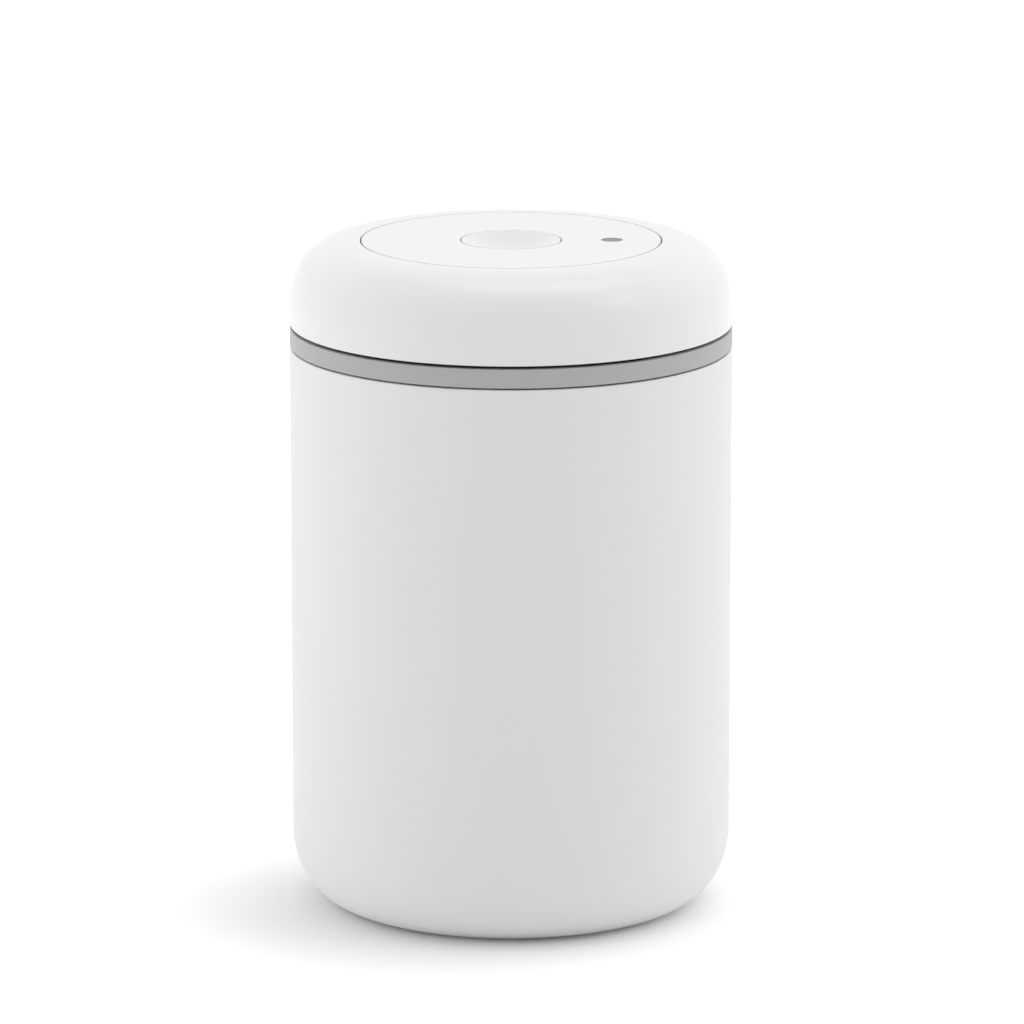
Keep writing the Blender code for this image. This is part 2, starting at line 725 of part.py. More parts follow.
def hose(material, parent, place):
    """The soft tube between the two nipples, modelled along +X from the pump tube."""
    tube = bmesh.new()
    add_rod(tube, hose_radius, (hose_start, 0, 0), (hose_end, 0, 0), FASTENER_STEPS)
    thing = piece("indicator_hose", tube, material, parent, place)
    bore = bmesh.new()
    start = (hose_start - OVERRUN, 0, 0)
    add_rod(bore, NIPPLE_RADIUS + FIT, start, (hose_end + OVERRUN, 0, 0), FASTENER_STEPS)
    cut(thing, bore, "bore")
    return thing


# Turning cap and cam ring
def corner_height(radius, width, height):
    """How high a corner of the cap's curve stands over its foot at a radius."""
    across = (radius - cap_opening) / width
    return height * (1 - max(across, 0) ** CAP_CORNER_POWER) ** (1 / CAP_CORNER_POWER)


def corner_curve(width, height, steps):
    """Points of the cap's rounded corner from its foot up to the opening."""
    points = []
    for step in range(steps + 1):
        angle = step / steps * TURN / 4
        across = math.cos(angle) ** (2 / CAP_CORNER_POWER) if step < steps else 0
        up = math.sin(angle) ** (2 / CAP_CORNER_POWER)
        points.append((cap_opening + width * across, CAP_SKIRT + height * up))
    return points


def lid_cap(material, parent, place):
    """The white cap. Its origin is on its axis at its lower edge."""
    width = BODY_RADIUS - cap_opening
    height = CAP_HEIGHT - CAP_SKIRT
    inner_width = width - CAP_WALL
    inner_height = height - CAP_WALL
    shoulder = rib_outer + SHOULDER_WIDTH
    lip_outer = cap_opening + OPENING_LIP_WALL
    ceiling = []
    for radius in (lip_outer, rib_inner, rib_outer):
        ceiling.append((radius, CAP_SKIRT + corner_height(radius, inner_width, inner_height)))
    inner_curve = corner_curve(inner_width, inner_height, INNER_CORNER_STEPS)
    inner_curve = [point for point in inner_curve if point[0] > shoulder]
    outline = [(BODY_RADIUS - CAP_EDGE, 0), (BODY_RADIUS, CAP_EDGE)]
    outline += corner_curve(width, height, CAP_CORNER_STEPS)
    outline += [(cap_opening, CAP_HEIGHT - OPENING_LIP_DEPTH), (lip_outer, CAP_HEIGHT - OPENING_LIP_DEPTH)]
    outline += ceiling[:2]
    outline += [
        (rib_inner, -RIB_DEPTH),
        (rib_outer, -RIB_DEPTH),
        (rib_outer + BEAD_DEPTH, -RIB_DEPTH + BEAD_HEIGHT / 2),
        (rib_outer, -RIB_DEPTH + BEAD_HEIGHT),
        (rib_outer, 0),
        (shoulder, 0),
        (shoulder, SHOULDER_THICKNESS),
        (rib_outer, SHOULDER_THICKNESS),
        ceiling[2],
    ]
    outline += reversed(inner_curve)
    outline += [(BODY_RADIUS - CAP_WALL, 0)]
    cap = spun("lid_cap", outline, SHELL_STEPS, material, parent, place)

    boss_base = cam_base + cam_height + FIT + plug_base - cap_base
    boss_top = CAP_SKIRT + corner_height(boss_ring, inner_width, inner_height) + CAP_WALL / 2
    bosses = bmesh.new()
    holes = bmesh.new()
    for angle in spread(SCREW_COUNT, BOSS_ANGLE):
        bottom = around(boss_ring, angle, boss_base)
        add_rod(bosses, BOSS_RADIUS, bottom, around(boss_ring, angle, boss_top), FASTENER_STEPS)
        hole_bottom = around(boss_ring, angle, boss_base - OVERRUN)
        hole_top = around(boss_ring, angle, boss_base + PILOT_DEPTH)
        add_rod(holes, CAM_SCREW_RADIUS + FIT, hole_bottom, hole_top, HOLE_STEPS)
    join(cap, bosses, "bosses")
    cut(cap, holes, "pilot_holes")
    return cap


def add_track(shape, azimuth):
    """Adds the cutter of one helical track with rounded ends. The pin rests at its low end."""
    middle = (cam_inner + cam_outer) / 2
    stations = [(-track_half * math.sin(angle) / middle, math.cos(angle)) for angle in TRACK_CAP_ANGLES]
    stations += [(TWIST_RANGE * step / TRACK_STEPS, 1.0) for step in range(TRACK_STEPS + 1)]
    for angle in reversed(TRACK_CAP_ANGLES):
        stations.append((TWIST_RANGE + track_half * math.sin(angle) / middle, math.cos(angle)))
    loops = []
    for turn, share in stations:
        level = pin_level - cam_base + piston_rate * turn
        half = track_half * share
        loops.append([
            shape.verts.new(around(radius, azimuth - turn, height))
            for radius, height in ring_outline(
                cam_inner - OVERRUN, cam_outer + OVERRUN, level - half, level + half
            )
        ])
    for before, after in zip(loops, loops[1:]):
        for index in range(4):
            shape.faces.new((before[index - 1], before[index], after[index], after[index - 1]))
    shape.faces.new(loops[0])
    shape.faces.new(loops[-1])


def cam_ring(material, parent, place):
    flange_base = cam_height - CAM_FLANGE_THICKNESS
    outline = [
        (cam_inner, 0),
        (cam_outer, 0),
        (cam_outer, flange_base),
        (cam_flange, flange_base),
        (cam_flange, cam_height),
        (cam_inner, cam_height),
    ]
    cam = spun("cam_ring", outline, INNER_STEPS, material, parent, place)
    tracks = bmesh.new()
    entries = bmesh.new()
    holes = bmesh.new()
    for azimuth in spread(LUG_COUNT, LUG_ANGLE):
        add_track(tracks, azimuth)
        low = (cam_inner - OVERRUN, -track_half, -OVERRUN)
        high = (cam_outer + OVERRUN, track_half, pin_level - cam_base)
        add_block(entries, low, high, azimuth)
    for angle in spread(SCREW_COUNT, BOSS_ANGLE):
        low = around(boss_ring, angle, flange_base - OVERRUN)
        high = around(boss_ring, angle, cam_height + OVERRUN)
        add_rod(holes, CAM_SCREW_RADIUS + FIT, low, high, HOLE_STEPS)
    cut(cam, tracks, "tracks")
    cut(cam, entries, "entries")
    cut(cam, holes, "screw_holes")
    return cam


# Pump piston
def pump_piston(material, parent, place):
    """The ring-shaped piston with its three keyed lugs. Its origin is under its crown."""
    groove = piston_rim - SEAL_GROOVE_DEPTH
    inner_groove = piston_bore + SEAL_GROOVE_DEPTH
    groove_top = SEAL_LEVEL + SEAL_HEIGHT + 2 * FIT
    outline = [
        (piston_bore, 0),
        (piston_rim, 0),
        (piston_rim, SEAL_LEVEL),
        (groove, SEAL_LEVEL),
        (groove, groove_top),
        (piston_rim, groove_top),
        (piston_rim, SKIRT_HEIGHT),
        (skirt_inner, SKIRT_HEIGHT),
        (skirt_inner, CROWN_THICKNESS),
        (hub_radius, CROWN_THICKNESS),
        (hub_radius, hub_height),
        (piston_bore, hub_height),
        (piston_bore, groove_top),
        (inner_groove, groove_top),
        (inner_groove, SEAL_LEVEL),
        (piston_bore, SEAL_LEVEL),
    ]
    piston = spun("pump_piston", outline, INNER_STEPS, material, parent, place)
    lugs = bmesh.new()
    keys = bmesh.new()
    holes = bmesh.new()
    lug_outer = groove * math.cos(math.pi / INNER_STEPS)
    lug_inner = skirt_inner - SEAL_GROOVE_DEPTH
    lug_base = CROWN_THICKNESS / 2
    for angle in spread(LUG_COUNT, LUG_ANGLE):
        low = (lug_inner, -LUG_WIDTH / 2, lug_base)
        add_block(lugs, low, (lug_outer, LUG_WIDTH / 2, lug_height), angle)
        low = (lug_outer - SEAL_GROOVE_DEPTH, -KEY_WIDTH / 2, lug_height - KEY_HEIGHT)
        add_block(keys, low, (tower_radius, KEY_WIDTH / 2, lug_height - FIT), angle)
        start = around(lug_inner - OVERRUN, angle, pin_height)
        end = around(tower_radius + OVERRUN, angle, pin_height)
        add_rod(holes, PIN_RADIUS + FIT, start, end, FASTENER_STEPS)
    join(piston, lugs, "lugs")
    join(piston, keys, "keys")
    ports = bmesh.new()
    for angle in spread(VALVE_COUNT, EXHAUST_ANGLE):
        add_valve_holes(ports, angle, CROWN_THICKNESS, 0)
    cut(piston, holes, "pin_holes")
    cut(piston, ports, "ports")
    return piston


def follower_pin(name, angle, material, parent, level):
    """A steel pin that reaches from its lug through the tower slot into the cam track."""
    start = skirt_inner - SEAL_GROOVE_DEPTH + FIT
    shape = bmesh.new()
    add_rod(shape, PIN_RADIUS, around(start, angle), around(cam_outer - FIT, angle), FASTENER_STEPS)
    return piece(name, shape, material, parent, (0, 0, level))


# Release button
def release_button(material, parent, place):
    """The dished button. Its origin is on its axis, level with the disc's upper face."""
    dish_edge = BUTTON_RADIUS - BUTTON_EDGE
    ball = (dish_edge ** 2 + BUTTON_DISH ** 2) / (2 * BUTTON_DISH)
    dish = []
    for step in range(DISH_STEPS + 1):
        radius = dish_edge * step / DISH_STEPS
        dish.append((radius, ball - BUTTON_DISH - math.sqrt(ball ** 2 - radius ** 2)))
    guide_inner = SLEEVE_BORE + SLEEVE_WALL + FIT
    guide_outer = guide_inner + GUIDE_WALL
    guide_base = PLATE_THICKNESS + BUTTON_TRAVEL + SLIDE_GAP - CARRIER_HEIGHT
    socket = STEM_RADIUS + FIT
    boss = socket + STEM_BOSS_WALL
    socket_top = -BUTTON_UNDERSIDE + SLIDE_GAP
    outline = dish + [
        (BUTTON_RADIUS, -BUTTON_EDGE),
        (BUTTON_RADIUS, -BUTTON_RIM),
        (guide_outer, -BUTTON_RIM),
        (guide_outer, guide_base),
        (guide_inner, guide_base),
        (guide_inner, -BUTTON_UNDERSIDE),
        (boss, -BUTTON_UNDERSIDE),
        (boss, -BUTTON_UNDERSIDE - STEM_SOCKET_DEPTH),
        (socket, -BUTTON_UNDERSIDE - STEM_SOCKET_DEPTH),
        (socket, socket_top),
        (0, socket_top),
    ]
    return spun("release_button", outline, BUTTON_STEPS, material, parent, place)


def release_stem(material, parent, seat_level):
    """The rod from the button down through the seat, with the valve head at its foot."""
    top = -BUTTON_UNDERSIDE
    head_top = seat_level - FIT - STEM_SEAL_HEIGHT - FIT
    head_base = head_top - VALVE_HEAD_HEIGHT
    outline = [
        (0, head_base),
        (VALVE_HEAD_RADIUS, head_base),
        (VALVE_HEAD_RADIUS, head_top),
        (STEM_RADIUS, head_top),
        (STEM_RADIUS, top),
        (0, top),
    ]
    return spun("release_stem", outline, FASTENER_STEPS, material, parent)


# Indicator plunger
def indicator_plunger(material, parent):
    """The plunger under the round window. Its origin is on its upper face."""
    piston_low = well_floor + FIT + INDICATOR_SPRING_ROOM + FIT - face_level + INDICATOR_SINK
    piston_high = piston_low + INDICATOR_PISTON_HEIGHT
    groove_low = piston_low + (INDICATOR_PISTON_HEIGHT - INDICATOR_SEAL_HEIGHT) / 2 - FIT
    groove_high = groove_low + INDICATOR_SEAL_HEIGHT + 2 * FIT
    groove = INDICATOR_PISTON_RADIUS - INDICATOR_GROOVE_DEPTH
    outline = [
        (0, 0),
        (INDICATOR_RADIUS, 0),
        (INDICATOR_RADIUS, -INDICATOR_HEAD),
        (INDICATOR_STEM_RADIUS, -INDICATOR_HEAD),
        (INDICATOR_STEM_RADIUS, piston_high),
        (INDICATOR_PISTON_RADIUS, piston_high),
        (INDICATOR_PISTON_RADIUS, groove_high),
        (groove, groove_high),
        (groove, groove_low),
        (INDICATOR_PISTON_RADIUS, groove_low),
        (INDICATOR_PISTON_RADIUS, piston_low),
        (0, piston_low),
    ]
    return spun("indicator_plunger", outline, SMALL_STEPS, material, parent), groove_low + FIT


def main():
    clear_scene()
    white_coat = paint("white_powder_coat", 0.88, 0.88, 0.88, 0.5)
    white_plastic = paint("white_plastic", 0.88, 0.88, 0.88, 0.45)
    grey_plastic = paint("grey_plastic", 0.48, 0.49, 0.5, 0.45)
    pale_plastic = paint("pale_plastic", 0.72, 0.72, 0.71, 0.5)
    acetal = paint("acetal", 0.78, 0.77, 0.73, 0.35)
    black_acetal = paint("black_acetal", 0.02, 0.02, 0.02, 0.4)
    silicone = paint("silicone", 0.66, 0.67, 0.68, 0.6)
    felt = paint("filter_felt", 0.7, 0.68, 0.63, 0.95)
    steel = paint("steel", 0.6, 0.6, 0.61, 0.3, 1.0)
    green_plastic = paint("green_plastic", 0.1, 0.5, 0.18, 0.45)
    indicator_grey = paint("indicator_grey", 0.26, 0.26, 0.26, 0.5)

    canister = group("canister", (0, 0, 0))
    lid = group("lid", (0, 0, plug_base), canister)
    cap = group("cap", (0, 0, cap_base - plug_base), lid)
    piston = group("piston", (0, 0, piston_base), lid)
    button = group("button", (0, 0, face_level), lid)
    indicator_place = (indicator_offset, 0, face_level - INDICATOR_SINK)
    indicator = group("indicator", indicator_place, lid)

    canister_shell(white_coat, canister)

    plug_housing(pale_plastic, lid, (0, 0, 0))
    band = group("band_seat", (0, 0, PLUG_DEPTH), lid)
    band_ring(grey_plastic, band)
    lid_gasket(silicone, lid, (0, 0, groove_base + FIT))
    intake_grille(pale_plastic, lid, (0, 0, 0))
    dust_filter(felt, lid, (0, 0, GRILLE_THICKNESS + FIT))
    glide_ring(black_acetal, lid, (0, 0, housing_top + FIT))
    for number, angle in enumerate(spread(VALVE_COUNT, INTAKE_ANGLE), 1):
        place = around(valve_ring, angle, chamber_floor)
        umbrella_valve(f"intake_valve_{number}", HOUSING_FLOOR, silicone, lid, place)
    disc_carrier(pale_plastic, lid, (0, 0, carrier_base))
    for number, angle in enumerate(spread(SCREW_COUNT, SCREW_ANGLE), 1):
        place = around(screw_ring, angle, carrier_base + PLATE_THICKNESS + FIT)
        screw(
            f"carrier_screw_{number}", TOWER_SCREW_RADIUS, TOWER_SCREW_HEAD_RADIUS, TOWER_SCREW_HEAD,
            TOWER_SCREW_LENGTH, steel, lid, place, True
        )
    top_disc(white_plastic, lid, (0, 0, face_level))
    seal_place = (0, 0, tube_height + FIT)
    seal_outline = ring_outline(TUBE_BORE + FIT, tube_radius, 0, TUBE_SEAL_HEIGHT)
    spun("tube_seal", seal_outline, SMALL_STEPS, silicone, lid, seal_place)
    hose(silicone, lid, (0, 0, nipple_level))
    sleeve_outline = ring_outline(window_radius, sleeve_ring_radius, 0, SLEEVE_RING_HEIGHT)
    sleeve_place = (indicator_offset, 0, face_level + sleeve_ring_base)
    spun("indicator_sleeve", sleeve_outline, SMALL_STEPS, green_plastic, lid, sleeve_place)

    spring_base = seat_underside + SEAT_WALL + FIT
    spring_length = face_level - BUTTON_UNDERSIDE - FIT - spring_base
    spring_place = (0, 0, spring_base)
    coil(
        "release_spring", RELEASE_COIL_RADIUS, RELEASE_WIRE, RELEASE_TURNS, spring_length,
        steel, lid, spring_place
    )
    spring_place = (indicator_offset, 0, well_floor + FIT)
    coil(
        "indicator_spring", INDICATOR_COIL_RADIUS, INDICATOR_WIRE, INDICATOR_TURNS, INDICATOR_SPRING_ROOM,
        steel, lid, spring_place
    )

    lid_cap(white_plastic, cap, (0, 0, 0))
    cam_place = (0, 0, plug_base + cam_base - cap_base)
    cam_ring(acetal, cap, cam_place)
    cam_screw_level = cam_place[2] + cam_height - CAM_FLANGE_THICKNESS - FIT
    for number, angle in enumerate(spread(SCREW_COUNT, BOSS_ANGLE), 1):
        screw(
            f"cam_screw_{number}", CAM_SCREW_RADIUS, CAM_SCREW_HEAD_RADIUS, CAM_SCREW_HEAD, CAM_SCREW_LENGTH,
            steel, cap, around(boss_ring, angle, cam_screw_level), False
        )

    pump_piston(acetal, piston, (0, 0, 0))
    outer_outline = ring_outline(piston_rim - SEAL_GROOVE_DEPTH + FIT, bore_radius - FIT, 0, SEAL_HEIGHT)
    spun("piston_outer_seal", outer_outline, INNER_STEPS, silicone, piston, (0, 0, SEAL_LEVEL + FIT))
    inner_outline = ring_outline(tube_radius + FIT, piston_bore + SEAL_GROOVE_DEPTH - FIT, 0, SEAL_HEIGHT)
    spun("piston_inner_seal", inner_outline, SMALL_STEPS, silicone, piston, (0, 0, SEAL_LEVEL + FIT))
    for number, angle in enumerate(spread(VALVE_COUNT, EXHAUST_ANGLE), 1):
        place = around(valve_ring, angle, CROWN_THICKNESS)
        umbrella_valve(f"exhaust_valve_{number}", CROWN_THICKNESS, silicone, piston, place)
    for number, angle in enumerate(spread(LUG_COUNT, LUG_ANGLE), 1):
        follower_pin(f"follower_pin_{number}", angle, steel, piston, pin_height)

    release_button(white_plastic, button, (0, 0, 0))
    seat_level = seat_underside - face_level
    release_stem(acetal, button, seat_level)
    stem_seal_outline = ring_outline(STEM_RADIUS + FIT, VALVE_HEAD_RADIUS, 0, STEM_SEAL_HEIGHT)
    stem_seal_place = (0, 0, seat_level - FIT - STEM_SEAL_HEIGHT)
    spun("stem_seal", stem_seal_outline, SMALL_STEPS, silicone, button, stem_seal_place)

    _, groove_level = indicator_plunger(indicator_grey, indicator)
    ring_inner = INDICATOR_PISTON_RADIUS - INDICATOR_GROOVE_DEPTH + FIT
    seal_outline = ring_outline(ring_inner, well_bore - FIT, 0, INDICATOR_SEAL_HEIGHT)
    spun("indicator_seal", seal_outline, SMALL_STEPS, silicone, indicator, (0, 0, groove_level))


main()
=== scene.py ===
import math

import bpy
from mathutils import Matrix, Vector


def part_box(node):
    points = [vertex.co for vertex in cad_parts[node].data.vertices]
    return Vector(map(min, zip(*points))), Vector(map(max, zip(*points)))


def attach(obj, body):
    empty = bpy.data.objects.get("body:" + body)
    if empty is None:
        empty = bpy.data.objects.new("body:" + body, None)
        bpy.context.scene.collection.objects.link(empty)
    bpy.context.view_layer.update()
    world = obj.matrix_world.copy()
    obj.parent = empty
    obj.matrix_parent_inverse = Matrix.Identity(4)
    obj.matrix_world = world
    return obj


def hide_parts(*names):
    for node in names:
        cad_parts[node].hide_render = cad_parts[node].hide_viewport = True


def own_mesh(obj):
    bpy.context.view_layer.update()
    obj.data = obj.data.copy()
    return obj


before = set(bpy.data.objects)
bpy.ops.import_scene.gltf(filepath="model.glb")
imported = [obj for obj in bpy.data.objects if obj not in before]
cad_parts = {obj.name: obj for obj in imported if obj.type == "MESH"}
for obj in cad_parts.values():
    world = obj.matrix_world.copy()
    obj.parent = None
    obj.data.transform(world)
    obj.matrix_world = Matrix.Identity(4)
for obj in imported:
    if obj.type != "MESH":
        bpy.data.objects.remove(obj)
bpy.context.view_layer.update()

MM = 0.001
TURN = 2 * math.pi
WELD = 0.0005 * MM
SMOOTH_ANGLE = math.radians(32)

# Facets round a circle, and steps along a rounding or a curve
WIDE_SIDES = 192
LID_SIDES = 144
BUTTON_SIDES = 128
SMALL_SIDES = 64
HOLE_SIDES = 24
GRILLE_HOLE_SIDES = 16
WIRE_SIDES = 12
ROUNDING_STEPS = 5
JAR_CORNER_STEPS = 32
JAR_INNER_CORNER_STEPS = 24
CAP_CORNER_STEPS = 56
CAP_INNER_CORNER_STEPS = 24
DISH_STEPS = 24
COIL_STEPS = 48

# The camera that a fit to the photograph gave, with its place in metres and its lens in millimetres
CAMERA_PLACE = (0.00025, -1.994, 0.563)
CAMERA_PITCH = math.radians(12.8425)
CAMERA_LENS = 261.45
SENSOR_WIDTH = 36.0


# Sizes and levels. They are in millimetres, and the main ones are read from the CAD nodes.
def span(name, axis):
    """A CAD node's lowest and highest place on an axis, in mm, to a thousandth."""
    low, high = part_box(name)
    return round(getattr(low, axis) / MM, 3), round(getattr(high, axis) / MM, 3)


BODY_RADIUS = span("canister_shell", "x")[1]
SHELL_TOP = span("canister_shell", "z")[1]
BAND_LOW, BAND_HIGH = span("band_ring", "z")
FACE = span("top_disc", "z")[1]
PLUG_LOW, TOWER_TOP = span("plug_housing", "z")
TOWER_RADIUS = span("disc_carrier", "x")[1]
FLANGE_RADIUS = span("plug_housing", "x")[1]
GASKET_LOW, GASKET_TOP = span("lid_gasket", "z")
GRILLE_RADIUS = span("intake_grille", "y")[1]
GRILLE_TOP = span("intake_grille", "z")[1]
FILTER_TOP = span("dust_filter", "z")[1]
COLLAR_OUTER = span("indicator_sleeve", "y")[1]
COLLAR_LOW, COLLAR_TOP = span("indicator_sleeve", "z")

# The indicator's place on +X
indicator_low, indicator_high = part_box("indicator_plunger")
INDICATOR_X = (indicator_low.x + indicator_high.x) / 2 / MM

# Clearance between pieces that seat on each other, and how far a cut runs past the wall
FIT = 0.3
OVERRUN = 1.0

# Edge roundings that several pieces share
FINE_EDGE = 0.2
SOFT_EDGE = 0.3

# Radii from the shell inwards
SHELL_WALL = 0.9
HEM_RADIUS = BODY_RADIUS - 2 * SHELL_WALL
PLUG_RADIUS = HEM_RADIUS - 1.5
GROOVE_RADIUS = PLUG_RADIUS - 2.0
HOUSING_RADIUS = GROOVE_RADIUS - 2.0
SNAP_LIP_RADIUS = HOUSING_RADIUS - 0.8
RIB_OUTER = SNAP_LIP_RADIUS - 0.5
RIB_INNER = RIB_OUTER - 1.4
BORE_RADIUS = TOWER_RADIUS - 3.4

# Screws and keys stand three round the lid
SCREW_COUNT = 3
SCREW_ANGLE = TURN / 12
KEY_COUNT = 3
KEY_ANGLE = TURN / 4


# Colours and nodes
def linear(code):
    """Turns an sRGB hex colour into the linear colour that a shader takes."""
    channels = [int(code[start:start + 2], 16) / 255 for start in (1, 3, 5)]
    return (*[c / 12.92 if c <= 0.04045 else ((c + 0.055) / 1.055) ** 2.4 for c in channels], 1.0)


def node(tree, kind, sockets=(), **settings):
    """Adds a node. Each socket, by name or number, gets a value or another node's output."""
    added = tree.nodes.new("ShaderNode" + kind)
    for setting, value in settings.items():
        setattr(added, setting, value)
    for socket, value in dict(sockets).items():
        if isinstance(value, bpy.types.NodeSocket):
            tree.links.new(value, added.inputs[socket])
        else:
            added.inputs[socket].default_value = value
    return added


def surface(name, **values):
    """Starts a material. Returns it with its node tree, its shader and the place on the object."""
    material = bpy.data.materials.new(name)
    material.use_nodes = True
    tree = material.node_tree
    shader = tree.nodes["Principled BSDF"]
    for socket, value in values.items():
        shader.inputs[socket.replace("_", " ")].default_value = value
    place = node(tree, "TexCoord").outputs["Object"]
    return material, tree, shader, place


def dress(tree, shader, mottle, colours, marks, roughness, relief=None):
    """Spreads two colours by the mottle and two roughnesses by the marks, and adds the relief."""
    darker, lighter = colours
    smoothest, roughest = roughness
    colour = node(tree, "Mix", {0: mottle, 6: linear(darker), 7: linear(lighter)}, data_type="RGBA")
    gloss = node(tree, "MapRange", {"Value": marks, "To Min": smoothest, "To Max": roughest})
    tree.links.new(colour.outputs[2], shader.inputs["Base Color"])
    tree.links.new(gloss.outputs[0], shader.inputs["Roughness"])
    if relief is not None:
        tree.links.new(relief.outputs[0], shader.inputs["Normal"])


# Powder coat: polyester powder sprayed on drawn steel and baked. The melt levels out to a soft orange peel
# about 1.6 mm across, and matting agents in it give a fine grain that spreads every highlight.
PEEL_SPACING = 1.6 * MM
PEEL_DEPTH = 0.004 * MM
COAT_GRAIN = 0.30 * MM  # really about 0.08 mm, drawn coarser so that it shows
COAT_GRAIN_DEPTH = 0.0012 * MM
COAT_CLOUD = 40 * MM


def powder_coat():
    material, tree, shader, place = surface("powder_coated_steel_matt_white", IOR=1.5)
    peel = node(tree, "TexNoise", {
        "Vector": place, "Scale": 1 / PEEL_SPACING, "Detail": 1.0, "Roughness": 0.4
    })
    grain = node(tree, "TexNoise", {"Vector": place, "Scale": 1 / COAT_GRAIN, "Detail": 2.0})
    cloud = node(tree, "TexNoise", {"Vector": place, "Scale": 1 / COAT_CLOUD, "Detail": 2.0})
    waves = node(tree, "Bump", {"Strength": 1.0, "Distance": PEEL_DEPTH, "Height": peel.outputs[0]})
    relief = node(tree, "Bump", {
        "Strength": 1.0, "Distance": COAT_GRAIN_DEPTH, "Height": grain.outputs[0], "Normal": waves.outputs[0]
    })
    dress(tree, shader, cloud.outputs[0], ("#EEEEEE", "#F0F0F0"), grain.outputs[0], (0.50, 0.60), relief)
    return material


# Stainless steel sheet, drawn and then brushed round the inside of the jar. The brush leaves fine rings
# that stretch each highlight up and down the wall.
BRUSH_SPACING = 0.4 * MM  # really about 0.05 mm, drawn coarser so that it shows
BRUSH_LENGTH = 30 * MM
BRUSH_DEPTH = 0.0015 * MM


def brushed_steel():
    material, tree, shader, place = surface("stainless_steel_drawn_and_brushed", Metallic=1.0)
    stretched = node(tree, "VectorMath", {
        0: place, 1: (1 / BRUSH_LENGTH, 1 / BRUSH_LENGTH, 1 / BRUSH_SPACING)
    }, operation="MULTIPLY")
    brush = node(tree, "TexNoise", {
        "Vector": stretched.outputs[0], "Scale": 1.0, "Detail": 4.0, "Roughness": 0.7
    })
    relief = node(tree, "Bump", {"Strength": 1.0, "Distance": BRUSH_DEPTH, "Height": brush.outputs[0]})
    dress(tree, shader, brush.outputs[0], ("#C6C7C8", "#D6D6D5"), brush.outputs[0], (0.26, 0.42), relief)
    return material


# Stainless steel of screws, pins and spring wire: turned or drawn, then tumbled, so it is bright with
# faint marks that have no direction.
TUMBLE_SPACING = 0.25 * MM
TUMBLE_DEPTH = 0.001 * MM


def tumbled_steel():
    material, tree, shader, place = surface("stainless_steel_tumbled", Metallic=1.0)
    marks = node(tree, "TexNoise", {"Vector": place, "Scale": 1 / TUMBLE_SPACING, "Detail": 3.0})
    relief = node(tree, "Bump", {"Strength": 1.0, "Distance": TUMBLE_DEPTH, "Height": marks.outputs[0]})
    dress(tree, shader, marks.outputs[0], ("#C2C2C2", "#D0D0CE"), marks.outputs[0], (0.20, 0.34), relief)
    return material


# ABS moulded in a spark-eroded tool: the tool's fine pits give an even grain, satin where they are shallow
# and matt where they are deep, and the melt cools with a slight unevenness of gloss over some centimetres.
SPARK_GRAIN = 0.30 * MM  # really about 0.1 mm, drawn coarser so that it shows
SPARK_DEPTH = 0.0014 * MM
FLOW_SPACING = 30 * MM
FLOW_SHARE = 0.4


def moulded_plastic(name, colours, roughness):
    material, tree, shader, place = surface(name, IOR=1.53)
    grain = node(tree, "TexNoise", {"Vector": place, "Scale": 1 / SPARK_GRAIN, "Detail": 2.0})
    flow = node(tree, "TexNoise", {"Vector": place, "Scale": 1 / FLOW_SPACING, "Detail": 2.0})
    mixed = node(tree, "Mix", {0: FLOW_SHARE, 2: grain.outputs[0], 3: flow.outputs[0]})
    relief = node(tree, "Bump", {"Strength": 1.0, "Distance": SPARK_DEPTH, "Height": grain.outputs[0]})
    dress(tree, shader, flow.outputs[0], colours, mixed.outputs[0], roughness, relief)
    return material


# Acetal of the sliding parts: moulded glossy and slightly waxy, so light sinks in a little way.
WAX_SPACING = 12 * MM
WAX_DEPTH = 1.5 * MM
WAX_WARMTH = (1.0, 0.95, 0.85)  # how far red, green and blue light sink in, as shares of that depth


def acetal(name, colours, milkiness):
    material, tree, shader, place = surface(
        name, IOR=1.48, Subsurface_Weight=milkiness, Subsurface_Radius=WAX_WARMTH, Subsurface_Scale=WAX_DEPTH
    )
    flow = node(tree, "TexNoise", {"Vector": place, "Scale": 1 / WAX_SPACING, "Detail": 3.0})
    dress(tree, shader, flow.outputs[0], colours, flow.outputs[0], (0.26, 0.40))
    return material


# Silicone rubber pressed in a polished tool and dusted: a soft, milky grey that lets some light through,
# with a dull bloom.
BLOOM_SPACING = 1.2 * MM
BLOOM_DEPTH = 0.004 * MM
MILK_DEPTH = 2.0 * MM
MILK_TINT = (1.0, 1.0, 1.0)


def silicone():
    material, tree, shader, place = surface(
        "silicone_rubber_translucent_grey", IOR=1.41, Subsurface_Weight=0.4, Subsurface_Radius=MILK_TINT,
        Subsurface_Scale=MILK_DEPTH
    )
    bloom = node(tree, "TexNoise", {"Vector": place, "Scale": 1 / BLOOM_SPACING, "Detail": 4.0})
    relief = node(tree, "Bump", {"Strength": 1.0, "Distance": BLOOM_DEPTH, "Height": bloom.outputs[0]})
    dress(tree, shader, bloom.outputs[0], ("#BFC2C4", "#CBCDCE"), bloom.outputs[0], (0.42, 0.62), relief)
    return material


# Needled polyester felt: short fibres lie every way, so it is dull and slightly mottled.
FIBRE_SPACING = 0.5 * MM  # really about 0.03 mm, drawn coarser so that it shows
FIBRE_DEPTH = 0.06 * MM
FIBRE_BEND_SPACING = 2 * MM
FIBRE_BEND = 0.002


